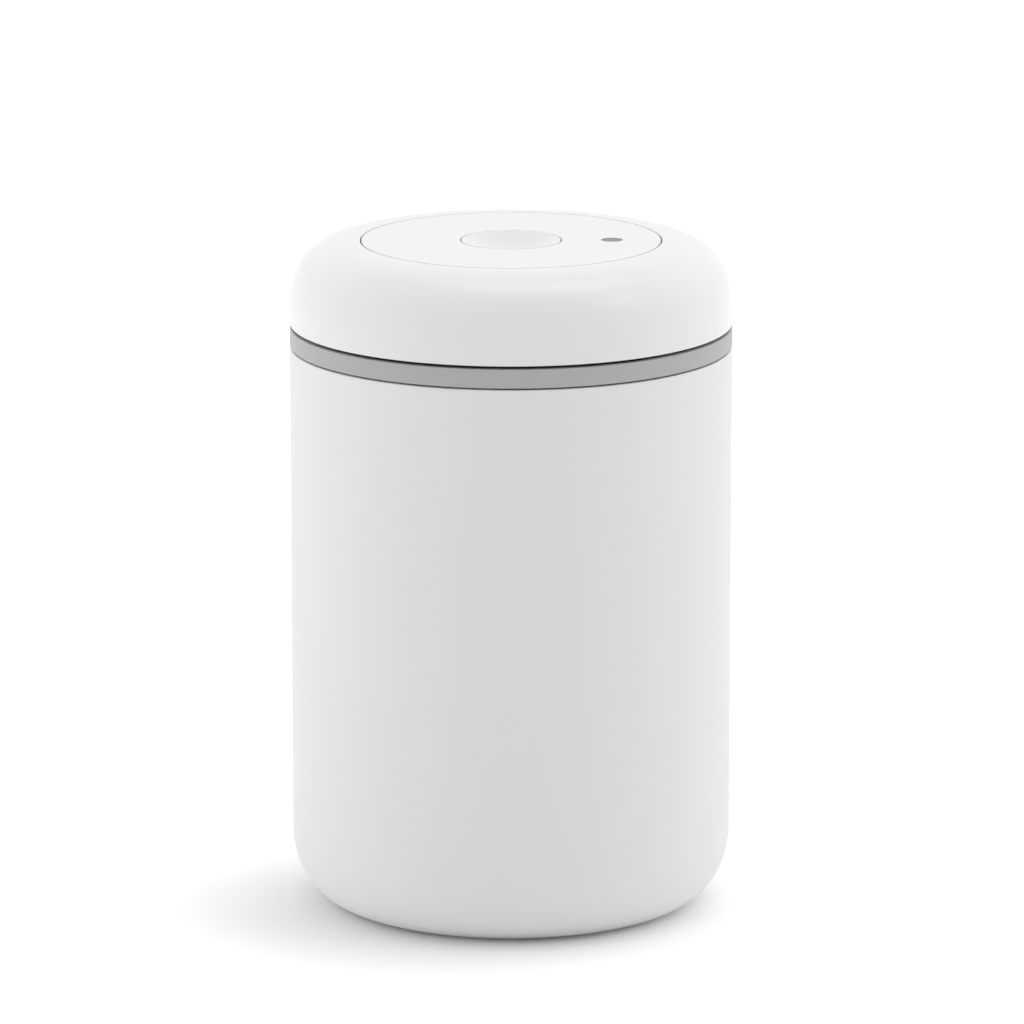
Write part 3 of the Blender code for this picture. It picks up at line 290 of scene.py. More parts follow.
def filter_felt():
    material, tree, shader, place = surface("polyester_felt_needled", Sheen_Weight=0.3)
    bend = node(tree, "TexNoise", {"Vector": place, "Scale": 1 / FIBRE_BEND_SPACING, "Detail": 1.0})
    bent = node(tree, "Mix", {0: FIBRE_BEND, 4: place, 5: bend.outputs["Color"]}, data_type="VECTOR")
    fibres = node(tree, "TexNoise", {
        "Vector": bent.outputs[1], "Scale": 1 / FIBRE_SPACING, "Detail": 4.0, "Roughness": 0.8
    })
    relief = node(tree, "Bump", {"Strength": 1.0, "Distance": FIBRE_DEPTH, "Height": fibres.outputs[0]})
    dress(tree, shader, fibres.outputs[0], ("#C6C2B6", "#DEDBD2"), fibres.outputs[0], (0.85, 1.0), relief)
    return material


white_coat = powder_coat()
bare_steel = brushed_steel()
bright_steel = tumbled_steel()
white_abs = moulded_plastic("abs_moulded_satin_white", ("#F1F1F1", "#F3F3F3"), (0.20, 0.26))
grey_abs = moulded_plastic("abs_moulded_matt_grey", ("#B2B4B6", "#B6B8BA"), (0.40, 0.50))
pale_abs = moulded_plastic("abs_moulded_natural", ("#DCDCDA", "#E2E2E0"), (0.38, 0.50))
green_abs = moulded_plastic("abs_moulded_green", ("#3D9A4B", "#48A556"), (0.34, 0.44))
dot_abs = moulded_plastic("abs_moulded_mid_grey", ("#7F7F7F", "#838383"), (0.36, 0.46))
slick_acetal = acetal("acetal_moulded_off_white", ("#E2E0D8", "#E9E7E0"), 0.15)
# The glide ring's black is painted shade for the gap between cap and band.
black_acetal = acetal("acetal_black_painted_gap_shade", ("#17181A", "#1D1E20"), 0.0)
soft_silicone = silicone()
felt = filter_felt()


# Modelling
def rounded(corners):
    """An outline from its corners. A corner with a third number is rounded to that radius."""
    outline = []
    for index, corner in enumerate(corners):
        if len(corner) == 2:
            outline.append(corner)
            continue
        point = Vector(corner[:2])
        back = (Vector(corners[index - 1][:2]) - point).normalized()
        ahead = (Vector(corners[(index + 1) % len(corners)][:2]) - point).normalized()
        half = back.angle(ahead) / 2
        centre = point + (back + ahead).normalized() * corner[2] / math.sin(half)
        tangent = corner[2] / math.tan(half)
        start, end = point + back * tangent - centre, point + ahead * tangent - centre
        for step in range(ROUNDING_STEPS + 1):
            outline.append(tuple(centre + start.slerp(end, step / ROUNDING_STEPS) * corner[2]))
    return outline


def tidy_mesh():
    """In edit mode: merges doubled points and turns every face outwards."""
    bpy.ops.mesh.select_all(action="SELECT")
    bpy.ops.mesh.remove_doubles(threshold=WELD)
    bpy.ops.mesh.normals_make_consistent(inside=False)


def turned(name, outline, sides, middle=0.0):
    """Draws an outline of (radius, height) in mm with extruded points and spins it once round its axis."""
    radius, height = outline[0]
    bpy.ops.object.select_all(action="DESELECT")
    bpy.ops.mesh.primitive_plane_add(size=MM, location=((middle + radius) * MM, 0, height * MM))
    bpy.ops.object.transform_apply(location=True, rotation=True, scale=True)
    piece = bpy.context.object
    piece.name = piece.data.name = name
    bpy.ops.object.mode_set(mode="EDIT")
    bpy.ops.mesh.select_mode(type="VERT")
    bpy.ops.mesh.select_all(action="SELECT")
    bpy.ops.mesh.merge(type="CENTER")
    closed = outline if radius == 0 else outline + outline[:1]
    for before, after in zip(closed, closed[1:]):
        step = ((after[0] - before[0]) * MM, 0, (after[1] - before[1]) * MM)
        bpy.ops.mesh.extrude_vertices_move(TRANSFORM_OT_translate={"value": step})
    bpy.ops.mesh.select_all(action="SELECT")
    bpy.ops.mesh.remove_doubles(threshold=WELD)
    bpy.ops.mesh.spin(steps=sides, dupli=False, angle=TURN, center=(middle * MM, 0, 0), axis=(0, 0, 1))
    tidy_mesh()
    bpy.ops.object.mode_set(mode="OBJECT")
    return piece


def around(radius, angle):
    """The (x, y) place at a radius and an angle from +X."""
    return radius * math.cos(angle), radius * math.sin(angle)


def spread(count, first=0.0):
    """Angles spread evenly round a turn."""
    return [first + index * TURN / count for index in range(count)]


def rods(places, radius, low, high, sides=HOLE_SIDES):
    """Upright rods at (x, y) places in mm, in one mesh, to join to a piece or to cut from it."""
    bpy.ops.object.select_all(action="DESELECT")
    bpy.ops.mesh.primitive_cylinder_add(vertices=sides, radius=radius * MM, depth=(high - low) * MM)
    shape = bpy.context.object
    bpy.ops.object.mode_set(mode="EDIT")
    bpy.ops.mesh.select_all(action="SELECT")
    x, y = places[0]
    bpy.ops.transform.translate(value=(x * MM, y * MM, (low + high) / 2 * MM))
    for across, along in places[1:]:
        bpy.ops.mesh.duplicate()
        bpy.ops.transform.translate(value=((across - x) * MM, (along - y) * MM, 0))
        x, y = across, along
    bpy.ops.object.mode_set(mode="OBJECT")
    return shape


def side_rod(start, end, level, radius):
    """A rod that lies along +X from start to end at a level, in mm."""
    bpy.ops.object.select_all(action="DESELECT")
    bpy.ops.mesh.primitive_cylinder_add(
        vertices=HOLE_SIDES, radius=radius * MM, depth=(end - start) * MM,
        location=((start + end) / 2 * MM, 0, level * MM), rotation=(0, TURN / 4, 0)
    )
    return bpy.context.object


def change(piece, kind, **settings):
    """Adds a modifier with its settings and applies it."""
    bpy.ops.object.select_all(action="DESELECT")
    bpy.context.view_layer.objects.active = piece
    piece.select_set(True)
    bpy.ops.object.modifier_add(type=kind)
    modifier = piece.modifiers[-1]
    for setting, value in settings.items():
        setattr(modifier, setting, value)
    bpy.ops.object.modifier_apply(modifier=modifier.name)


def carve(piece, tool, operation="DIFFERENCE"):
    """Cuts the tool's shape from the piece, or joins it, and throws the tool away."""
    change(piece, "BOOLEAN", operation=operation, solver="EXACT", object=tool)
    bpy.data.objects.remove(tool)


def finished(piece, material, body, slot, *nodes):
    """Smooths the round faces, gives the piece its material and puts it in place of its CAD nodes.

    The weighted normals keep a flat face flat beside its fine rounded edges.
    """
    bpy.ops.object.select_all(action="DESELECT")
    bpy.context.view_layer.objects.active = piece
    piece.select_set(True)
    bpy.ops.object.shade_smooth_by_angle(angle=SMOOTH_ANGLE)
    change(piece, "WEIGHTED_NORMAL", keep_sharp=True)
    piece.data.materials.clear()
    piece.data.materials.append(material)
    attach(piece, body)
    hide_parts(*nodes)
    return piece


def ellipse(centre_radius, centre_height, width, height, steps):
    """The lower outer quarter of an ellipse, from its lowest point up to its widest."""
    points = []
    for step in range(steps + 1):
        angle = step / steps * TURN / 4
        points.append((centre_radius + width * math.sin(angle), centre_height - height * math.cos(angle)))
    return points


# Canister
CORNER_WIDTH = 15.5
CORNER_HEIGHT = 20.0
FOOT_INNER = BODY_RADIUS - CORNER_WIDTH - 4.0
BASE_EDGE = FOOT_INNER - 2.5
BASE_FLAT = BASE_EDGE - 2.5
BASE_RECESS = 2.5
BASE_EDGE_ROUNDING = 1.2
FOOT_ROUNDING = 0.6
FOOT_INSIDE_ROUNDING = 0.8
BASE_INSIDE_ROUNDING = 1.5
HEM_LOW = SHELL_TOP - 7.0
RIM_ROUNDING = 0.45
RIM_START = SHELL_TOP - 0.7
WALL_END = SHELL_TOP - 5.3
COAT_EDGE = SHELL_TOP - 0.6  # the powder coat wraps over the rim and ends here, inside it
FLOOR_SLOPE = 0.3  # a face whose normal rises more than this belongs to the floor inside


def canister_jar():
    """The drawn shell: folded rim, thin wall, wide rounded corner, foot ring and raised base."""
    corner_centre = BODY_RADIUS - CORNER_WIDTH
    outer = ellipse(corner_centre, CORNER_HEIGHT, CORNER_WIDTH, CORNER_HEIGHT, JAR_CORNER_STEPS)
    inner = ellipse(
        corner_centre, CORNER_HEIGHT, CORNER_WIDTH - SHELL_WALL, CORNER_HEIGHT - SHELL_WALL,
        JAR_INNER_CORNER_STEPS
    )
    # The step up to the base slopes by an eighth of a turn, so its inside lies this far outwards
    step_shift = round(SHELL_WALL * math.tan(TURN / 16), 2)
    floor = BASE_RECESS + SHELL_WALL
    outline = rounded(
        [(0, BASE_RECESS), (BASE_FLAT, BASE_RECESS), (BASE_EDGE, BASE_RECESS, BASE_EDGE_ROUNDING)]
        + [(FOOT_INNER, 0, FOOT_ROUNDING)] + outer + [(BODY_RADIUS, WALL_END), (BODY_RADIUS, RIM_START)]
        + [(BODY_RADIUS, SHELL_TOP, RIM_ROUNDING), (HEM_RADIUS, SHELL_TOP, RIM_ROUNDING)]
        + [(HEM_RADIUS, RIM_START), (HEM_RADIUS, HEM_LOW, SOFT_EDGE)]
        + [(BODY_RADIUS - SHELL_WALL, HEM_LOW - SHELL_WALL)] + inner[::-1]
        + [(FOOT_INNER + step_shift, SHELL_WALL, FOOT_INSIDE_ROUNDING)]
        + [(BASE_EDGE + step_shift, floor, BASE_INSIDE_ROUNDING), (BASE_FLAT, floor), (0, floor)]
    )
    jar = turned("canister_jar", outline, WIDE_SIDES)
    finished(jar, white_coat, "canister", "white_coat", "canister_shell")
    jar.data.materials.append(bare_steel)
    for face in jar.data.polygons:
        faces_inwards = face.normal.xy.dot(face.center.xy) < 0 or face.normal.z > FLOOR_SLOPE
        face.material_index = int(faces_inwards and face.center.z < COAT_EDGE * MM)
    return jar


# Fixed lid pieces
BAND_RING_INNER = GROOVE_RADIUS + 0.5
BAND_WALL_INNER = BODY_RADIUS - 2.2
BAND_LEDGE = BAND_LOW + 2.0
BAND_LOWER_ROUNDING = 0.5
BAND_UPPER_ROUNDING = 0.35


def band():
    """The grey ring between jar and cap, with a fine rounded edge above and below."""
    outline = rounded([
        (BAND_RING_INNER, BAND_LOW), (BODY_RADIUS - SHELL_WALL, BAND_LOW),
        (BODY_RADIUS, BAND_LOW, BAND_LOWER_ROUNDING), (BODY_RADIUS, BAND_HIGH, BAND_UPPER_ROUNDING),
        (BAND_WALL_INNER, BAND_HIGH, SOFT_EDGE), (BAND_WALL_INNER, BAND_LEDGE), (BAND_RING_INNER, BAND_LEDGE)
    ])
    return finished(turned("grey_band", outline, WIDE_SIDES), grey_abs, "lid", "grey_plastic", "band_ring")


# Plug: levels of its floors and flange, then its tube, nipple, key slots and valve holes
PLUG_FLOOR = 2.2
CHANNEL_FLOOR = PLUG_LOW + PLUG_FLOOR
RECESS_CEILING = FILTER_TOP + 2.0
CHAMBER_FLOOR = RECESS_CEILING + PLUG_FLOOR
FLANGE_LOW = BAND_LEDGE + FIT
FLANGE_TOP = FLANGE_LOW + PLUG_FLOOR
SNAP_LIP_LOW = FLANGE_TOP - 1.7
PLUG_EDGE_ROUNDING = 1.2
PLUG_UNDERSIDE_FLAT = PLUG_RADIUS - 2.2
PLUG_SIDE_START = PLUG_LOW + 2.3
CHANNEL_ROUNDING = 0.6
TUBE_BORE = 5.0
TUBE_RADIUS = 7.5
TUBE_TOP = TOWER_TOP - 3.6
TUBE_FOOT_ROUNDING = 0.5
NIPPLE_LEVEL = TUBE_TOP - 4.8
NIPPLE_START = (TUBE_BORE + TUBE_RADIUS) / 2
NIPPLE_END = 11.69
NIPPLE_RADIUS = 1.3
NIPPLE_BORE = 0.7
NIPPLE_DRILL_END = 12.7
TOWER_MIDDLE = (BORE_RADIUS + TOWER_RADIUS) / 2
KEY_SLOT_WIDTH = 6.8
KEY_SLOT_DEPTH = 18.1
PILOT_RADIUS = 1.1
PILOT_DEPTH = 8.0
VALVE_ANGLES = (TURN / 4, 3 * TURN / 4)
VALVE_RING = 22.1
VALVE_STEM_HOLE = 1.4
PORT_COUNT = 3
PORT_RING = 3.2
PORT_RADIUS = 0.9


def plug():
    """The lid's plug: outer wall with the gasket's groove, pump tower, centre tube and hose nipple."""
    grille_seat = GRILLE_RADIUS + FIT
    groove_low = GASKET_LOW - FIT
    outline = rounded([
        (TUBE_BORE, RECESS_CEILING), (grille_seat, RECESS_CEILING), (grille_seat, PLUG_LOW, SOFT_EDGE),
        (PLUG_UNDERSIDE_FLAT, PLUG_LOW), (PLUG_RADIUS, PLUG_LOW, PLUG_EDGE_ROUNDING),
        (PLUG_RADIUS, PLUG_SIDE_START), (PLUG_RADIUS, groove_low, SOFT_EDGE), (GROOVE_RADIUS, groove_low),
        (GROOVE_RADIUS, FLANGE_LOW), (FLANGE_RADIUS, FLANGE_LOW), (FLANGE_RADIUS, FLANGE_TOP),
        (SNAP_LIP_RADIUS, FLANGE_TOP, FINE_EDGE), (SNAP_LIP_RADIUS, SNAP_LIP_LOW),
        (HOUSING_RADIUS, SNAP_LIP_LOW), (HOUSING_RADIUS, CHANNEL_FLOOR, CHANNEL_ROUNDING),
        (TOWER_RADIUS, CHANNEL_FLOOR, CHANNEL_ROUNDING), (TOWER_RADIUS, TOWER_TOP, SOFT_EDGE),
        (BORE_RADIUS, TOWER_TOP, SOFT_EDGE), (BORE_RADIUS, CHAMBER_FLOOR),
        (TUBE_RADIUS, CHAMBER_FLOOR, TUBE_FOOT_ROUNDING), (TUBE_RADIUS, TUBE_TOP), (TUBE_BORE, TUBE_TOP)
    ])
    housing = turned("lid_plug", outline, LID_SIDES)
    carve(housing, side_rod(NIPPLE_START, NIPPLE_END, NIPPLE_LEVEL, NIPPLE_RADIUS), "UNION")
    carve(housing, side_rod(0, NIPPLE_DRILL_END, NIPPLE_LEVEL, NIPPLE_BORE))

    slot_height = KEY_SLOT_DEPTH + OVERRUN
    slot_middle = TOWER_TOP + OVERRUN - slot_height / 2
    for angle in spread(KEY_COUNT, KEY_ANGLE):
        bpy.ops.object.select_all(action="DESELECT")
        x, y = around(TOWER_MIDDLE, angle)
        bpy.ops.mesh.primitive_cube_add(
            size=MM, location=(x * MM, y * MM, slot_middle * MM), rotation=(0, 0, angle),
            scale=(TOWER_RADIUS - BORE_RADIUS + 2 * OVERRUN, KEY_SLOT_WIDTH, slot_height)
        )
        carve(housing, bpy.context.object)
    screw_places = [around(TOWER_MIDDLE, angle) for angle in spread(SCREW_COUNT, SCREW_ANGLE)]
    carve(housing, rods(screw_places, PILOT_RADIUS, TOWER_TOP - PILOT_DEPTH, TOWER_TOP + OVERRUN))

    low, high = RECESS_CEILING - OVERRUN, CHAMBER_FLOOR + OVERRUN
    for angle in VALVE_ANGLES:
        valve = around(VALVE_RING, angle)
        carve(housing, rods([valve], VALVE_STEM_HOLE, low, high))
        ports = []
        for port_angle in spread(PORT_COUNT, angle):
            x, y = around(PORT_RING, port_angle)
            ports.append((valve[0] + x, valve[1] + y))
        carve(housing, rods(ports, PORT_RADIUS, low, high))
    return finished(housing, pale_abs, "lid", "pale_plastic", "plug_housing")


GASKET_INNER = GROOVE_RADIUS + FIT
GASKET_BACK = GASKET_INNER + 1.3
LIP_REACH = span("lid_gasket", "x")[1]
LIP_ROOTS = (0.62, 2.70)
LIP_RISE = 0.9
LIP_EDGE = 0.4
LIP_ROUNDING = 0.12


def gasket():
    """The silicone ring in the plug's groove, with two thin lips that lean upwards."""
    outline = [(GASKET_INNER, GASKET_LOW), (GASKET_BACK, GASKET_LOW)]
    for root in LIP_ROOTS:
        low = GASKET_LOW + root
        outline += [
            (GASKET_BACK, low), (LIP_REACH, low + LIP_RISE, LIP_ROUNDING),
            (LIP_REACH, low + LIP_RISE + LIP_EDGE, LIP_ROUNDING), (GASKET_BACK, low + LIP_RISE)
        ]
    outline += [(GASKET_BACK, GASKET_TOP, FINE_EDGE), (GASKET_INNER, GASKET_TOP, FINE_EDGE)]
    ring = turned("plug_gasket", rounded(outline), LID_SIDES)
    return finished(ring, soft_silicone, "lid", "silicone", "lid_gasket")


GRILLE_FLAT = GRILLE_RADIUS - 3.0
GRILLE_ROUNDING = 0.4
GRILLE_ROWS = 4
GRILLE_ROW_HOLES = 6  # how many holes each row has more than the row inside it
GRILLE_ROW_SPACING = 5.5
GRILLE_HOLE_RADIUS = 1.4


def grille():
    """The perforated cover under the plug, with a finely rounded edge and rings of fine holes."""
    outline = rounded([
        (0, PLUG_LOW), (GRILLE_FLAT, PLUG_LOW), (GRILLE_RADIUS, PLUG_LOW, GRILLE_ROUNDING),
        (GRILLE_RADIUS, GRILLE_TOP), (0, GRILLE_TOP)
    ])
    cover = turned("perforated_cover", outline, LID_SIDES)
    places = [(0, 0)]
    for row in range(1, GRILLE_ROWS + 1):
        places += [around(row * GRILLE_ROW_SPACING, angle) for angle in spread(row * GRILLE_ROW_HOLES)]
    low, high = PLUG_LOW - OVERRUN, GRILLE_TOP + OVERRUN
    carve(cover, rods(places, GRILLE_HOLE_RADIUS, low, high, GRILLE_HOLE_SIDES))
    return finished(cover, pale_abs, "lid", "pale_plastic", "intake_grille")


GLIDE_RADIUS = span("glide_ring", "x")[1]
GLIDE_LOW, GLIDE_TOP = span("glide_ring", "z")
GLIDE_LOWER_ROUNDING = 0.15


def glide():
    """The flat acetal ring on which the cap turns. Its black is painted shade: it keeps the gap over the
    band as dark as the shade there.
    """
    outline = rounded([
        (SNAP_LIP_RADIUS, GLIDE_LOW, GLIDE_LOWER_ROUNDING), (GLIDE_RADIUS, GLIDE_LOW, GLIDE_LOWER_ROUNDING),
        (GLIDE_RADIUS, GLIDE_TOP, FINE_EDGE), (SNAP_LIP_RADIUS, GLIDE_TOP, FINE_EDGE)
    ])
    ring = turned("glide_washer", outline, LID_SIDES)
    return finished(ring, black_acetal, "lid", "black_acetal", "glide_ring")


# Disc. Its gaps to the cap and to the button are a little wider than the CAD model's, so that they show
# as dark as in the photograph.
DISC_RADIUS = 40.84
CAP_OPENING = 41.26
BUTTON_RADIUS = 13.55
BUTTON_OPENING = 13.92
WINDOW_RADIUS = 3.0
DISC_LOW = span("top_disc", "z")[0]
DISC_UNDERSIDE = FACE - 2.3
DISC_COLLAR_RADIUS = 15.5
DISC_COLLAR_LOW = FACE - 3.6
SNAP_RING_INNER = 36.0
SNAP_RING_OUTER = 37.5
DISC_FACE_START = 14.4
DISC_FACE_END = 40.4
DISC_EDGE = 0.04
BUTTON_OPENING_EDGE = 0.08
WINDOW_EDGE = 0.05
WINDOW_EDGE_STEPS = 3
DISC_CUT_LOW = DISC_COLLAR_LOW - OVERRUN
DISC_CUT_HIGH = FACE + OVERRUN
LEVEL_SLACK = 0.01
RADIUS_SLACK = 0.02


def select_window_edge(plate):
    """Selects the edges round the window in the disc's face, and nothing else."""
    bpy.ops.object.mode_set(mode="EDIT")
    bpy.ops.mesh.select_all(action="DESELECT")
    bpy.ops.object.mode_set(mode="OBJECT")
    for edge in plate.data.edges:
        ends = [plate.data.vertices[index].co / MM for index in edge.vertices]
        edge.select = all(
            abs(end.z - FACE) < LEVEL_SLACK
            and abs(math.hypot(end.x - INDICATOR_X, end.y) - WINDOW_RADIUS) < RADIUS_SLACK
            for end in ends
        )


def disc():
    """The still disc in the middle of the lid, with the window over the indicator."""
    outline = rounded([
        (BUTTON_OPENING, DISC_COLLAR_LOW, FINE_EDGE), (DISC_COLLAR_RADIUS, DISC_COLLAR_LOW, FINE_EDGE),
        (DISC_COLLAR_RADIUS, DISC_UNDERSIDE), (SNAP_RING_INNER, DISC_UNDERSIDE),
        (SNAP_RING_INNER, DISC_LOW, SOFT_EDGE), (SNAP_RING_OUTER, DISC_LOW, SOFT_EDGE),
        (SNAP_RING_OUTER, DISC_UNDERSIDE), (DISC_RADIUS, DISC_UNDERSIDE), (DISC_RADIUS, FACE, DISC_EDGE),
        (DISC_FACE_END, FACE), (DISC_FACE_START, FACE), (BUTTON_OPENING, FACE, BUTTON_OPENING_EDGE)
    ])
    plate = turned("lid_disc", outline, WIDE_SIDES)
    window = [(INDICATOR_X, 0)]
    carve(plate, rods(window, WINDOW_RADIUS, DISC_CUT_LOW, DISC_CUT_HIGH, SMALL_SIDES))
    carve(plate, rods(window, COLLAR_OUTER + FIT, DISC_CUT_LOW, COLLAR_TOP + FIT, SMALL_SIDES))
    select_window_edge(plate)
    bpy.ops.object.mode_set(mode="EDIT")
    bpy.ops.mesh.select_mode(type="EDGE")
    bpy.ops.mesh.bevel(offset=WINDOW_EDGE * MM, segments=WINDOW_EDGE_STEPS, affect="EDGES")
    bpy.ops.object.mode_set(mode="OBJECT")
    return finished(plate, white_abs, "lid", "white_plastic", "top_disc")


COLLAR_INNER = 3.15
COLLAR_ROUNDING = 0.15


def indicator_collar():
    """The green ring that shows round the indicator when it has sunk."""
    outline = rounded([
        (COLLAR_INNER, COLLAR_LOW, COLLAR_ROUNDING), (COLLAR_OUTER, COLLAR_LOW, COLLAR_ROUNDING),
        (COLLAR_OUTER, COLLAR_TOP, COLLAR_ROUNDING), (COLLAR_INNER, COLLAR_TOP, COLLAR_ROUNDING)
    ])
    collar = turned("indicator_collar", outline, SMALL_SIDES, INDICATOR_X)
    return finished(collar, green_abs, "lid", "green_plastic", "indicator_sleeve")


# Turning cap. Its corner is a superellipse: CAP_POWER is 2 for an ellipse and larger for a squarer corner.
CAP_POWER = 2.8
CAP_LOW = BAND_HIGH + 0.8
CAP_SKIRT_TOP = CAP_LOW + 1.3
CAP_WALL = 2.0
CAP_FOOT_ROUNDING = 0.5
CAP_OPENING_EDGE = 0.06
CAP_FACE_START = CAP_OPENING + 0.5
OPENING_LIP_OUTER = 43.0
OPENING_LIP_LOW = FACE - 4.0
CEILING_RADII = (OPENING_LIP_OUTER, 45, 47, 49, RIB_INNER)
OUTER_CEILING_RADII = (RIB_OUTER, 53, 54, 55, 56, 57, 57.8)
INNER_WALL_START = 57.9
RIB_LOW = span("lid_cap", "z")[0]
BEAD_DEPTH = 0.7
BEAD_MIDDLE = RIB_LOW + 0.8
BEAD_TOP = RIB_LOW + 1.6
SHOULDER_RADIUS = RIB_OUTER + 3.8
SHOULDER_TOP = CAP_LOW + 1.5
BOSS_RING = 47.1
BOSS_RADIUS = 2.9
BOSS_LOW = span("cam_ring", "z")[1] + FIT
BOSS_TOP = FACE - 1.6
BOSS_HOLE_RADIUS = 1.4
BOSS_HOLE_DEPTH = 8.0


def corner_height(radius, width, height):
    """How high the cap's curved corner stands at a radius."""
    across = max((radius - CAP_OPENING) / width, 0)
    return CAP_SKIRT_TOP + height * (1 - across ** CAP_POWER) ** (1 / CAP_POWER)


def corner_curve(width, height, steps):
    """Points up the cap's curved corner, from the skirt towards the opening."""
    points = []
    for step in range(steps):
        angle = step / steps * TURN / 4
        across = math.cos(angle) ** (2 / CAP_POWER)
        up = math.sin(angle) ** (2 / CAP_POWER)
        points.append((CAP_OPENING + width * across, CAP_SKIRT_TOP + height * up))
    return points


def cap():
    """The white cap: wide rounded corner, opening for the disc, snap rib and three screw bosses."""
    width, height = BODY_RADIUS - CAP_OPENING, FACE - CAP_SKIRT_TOP
    inner_width, inner_height = width - CAP_WALL, height - CAP_WALL
    ceiling = [(radius, corner_height(radius, inner_width, inner_height)) for radius in CEILING_RADII]
    outer_ceiling = [
        (radius, corner_height(radius, inner_width, inner_height)) for radius in OUTER_CEILING_RADII
    ]
    curve = corner_curve(inner_width, inner_height, CAP_INNER_CORNER_STEPS)
    inner_wall = [point for point in curve if point[0] > INNER_WALL_START]
    outline = rounded(
        [(BODY_RADIUS, CAP_LOW, CAP_FOOT_ROUNDING)] + corner_curve(width, height, CAP_CORNER_STEPS)
        + [(CAP_FACE_START, FACE), (CAP_OPENING, FACE, CAP_OPENING_EDGE)]
        + [(CAP_OPENING, OPENING_LIP_LOW), (OPENING_LIP_OUTER, OPENING_LIP_LOW)] + ceiling
        + [(RIB_INNER, RIB_LOW, SOFT_EDGE), (RIB_OUTER, RIB_LOW, SOFT_EDGE)]
        + [(RIB_OUTER + BEAD_DEPTH, BEAD_MIDDLE, SOFT_EDGE), (RIB_OUTER, BEAD_TOP), (RIB_OUTER, CAP_LOW)]
        + [(SHOULDER_RADIUS, CAP_LOW, SOFT_EDGE), (SHOULDER_RADIUS, SHOULDER_TOP), (RIB_OUTER, SHOULDER_TOP)]
        + outer_ceiling + inner_wall[::-1] + [(BODY_RADIUS - CAP_WALL, CAP_LOW, SOFT_EDGE)]
    )
    shell = turned("twist_cap", outline, WIDE_SIDES)
    boss_places = [around(BOSS_RING, angle) for angle in spread(SCREW_COUNT, SCREW_ANGLE)]
    carve(shell, rods(boss_places, BOSS_RADIUS, BOSS_LOW, BOSS_TOP), "UNION")
    carve(shell, rods(boss_places, BOSS_HOLE_RADIUS, BOSS_LOW - OVERRUN, BOSS_LOW + BOSS_HOLE_DEPTH))
    return finished(shell, white_abs, "cap", "white_plastic", "lid_cap")


# Release button
BUTTON_DISH = 3.2
BUTTON_RIM = 0.5
BUTTON_EDGE = 0.08
DISH_EDGE = 0.1
BUTTON_LOW = span("release_button", "z")[0]
BUTTON_SKIRT_LOW = FACE - 4.0
BUTTON_UNDERSIDE = FACE - 4.5
GUIDE_INNER = 9.7
GUIDE_OUTER = 11.2
STEM_SOCKET_RADIUS = 1.9
STEM_SOCKET_TOP = FACE - 4.1
STEM_BOSS_RADIUS = 3.4
STEM_BOSS_LOW = FACE - 7.9


def button():
    """The dished button, with the guide ring and the stem's socket under it."""
    edge = BUTTON_RADIUS - BUTTON_RIM
    ball = (edge ** 2 + BUTTON_DISH ** 2) / (2 * BUTTON_DISH)
    dish = []
    for step in range(DISH_STEPS):
        radius = edge * step / DISH_STEPS
        dish.append((radius, FACE - BUTTON_DISH + ball - math.sqrt(ball ** 2 - radius ** 2)))
    outline = rounded(
        dish + [(edge, FACE, DISH_EDGE), (BUTTON_RADIUS, FACE, BUTTON_EDGE)]
        + [(BUTTON_RADIUS, BUTTON_SKIRT_LOW, FINE_EDGE), (GUIDE_OUTER, BUTTON_SKIRT_LOW)]
        + [(GUIDE_OUTER, BUTTON_LOW, FINE_EDGE), (GUIDE_INNER, BUTTON_LOW, FINE_EDGE)]
        + [(GUIDE_INNER, BUTTON_UNDERSIDE), (STEM_BOSS_RADIUS, BUTTON_UNDERSIDE)]
        + [(STEM_BOSS_RADIUS, STEM_BOSS_LOW, FINE_EDGE), (STEM_SOCKET_RADIUS, STEM_BOSS_LOW, FINE_EDGE)]
        + [(STEM_SOCKET_RADIUS, STEM_SOCKET_TOP), (0, STEM_SOCKET_TOP)]
    )
    shell = turned("dished_button", outline, BUTTON_SIDES)
    return finished(shell, white_abs, "button", "white_plastic", "release_button")


# Indicator plunger. Its head is a little wider than the CAD model's and its window a little narrower, so
# that the line round it is as fine as in the photograph.
HEAD_RADIUS = 2.9
HEAD_TOP = FACE - 0.12
HEAD_LOW = FACE - 3.3
HEAD_FLAT = 2.0
HEAD_EDGE = 0.06
PIN_RADIUS = 1.4
PISTON_RADIUS = span("indicator_plunger", "y")[1]
PISTON_LOW = span("indicator_plunger", "z")[0]
PISTON_TOP = PISTON_LOW + 4.0
SEAL_GROOVE_RADIUS = PISTON_RADIUS - 0.9
SEAL_GROOVE_LOW = PISTON_LOW + 1.0
SEAL_GROOVE_TOP = PISTON_LOW + 3.0


def indicator():
    """The grey plunger: head, stem and the piston with its seal's groove."""
    outline = rounded([
        (0, HEAD_TOP), (HEAD_FLAT, HEAD_TOP), (HEAD_RADIUS, HEAD_TOP, HEAD_EDGE),
        (HEAD_RADIUS, HEAD_LOW, FINE_EDGE), (PIN_RADIUS, HEAD_LOW), (PIN_RADIUS, PISTON_TOP),
        (PISTON_RADIUS, PISTON_TOP, FINE_EDGE), (PISTON_RADIUS, SEAL_GROOVE_TOP),
        (SEAL_GROOVE_RADIUS, SEAL_GROOVE_TOP), (SEAL_GROOVE_RADIUS, SEAL_GROOVE_LOW),
        (PISTON_RADIUS, SEAL_GROOVE_LOW), (PISTON_RADIUS, PISTON_LOW, FINE_EDGE), (0, PISTON_LOW)
    ])
    plunger = turned("indicator_pin", outline, SMALL_SIDES, INDICATOR_X)
    return finished(plunger, dot_abs, "indicator", "indicator_grey", "indicator_plunger")


# Springs: coil radius, wire thickness, turns, and the lowest and highest point of the wire
RELEASE_SPRING = (5.6, 0.7, 5, 169.1, 179.8)
INDICATOR_SPRING = (2.4, 0.4, 5, 159.8, 168.2)


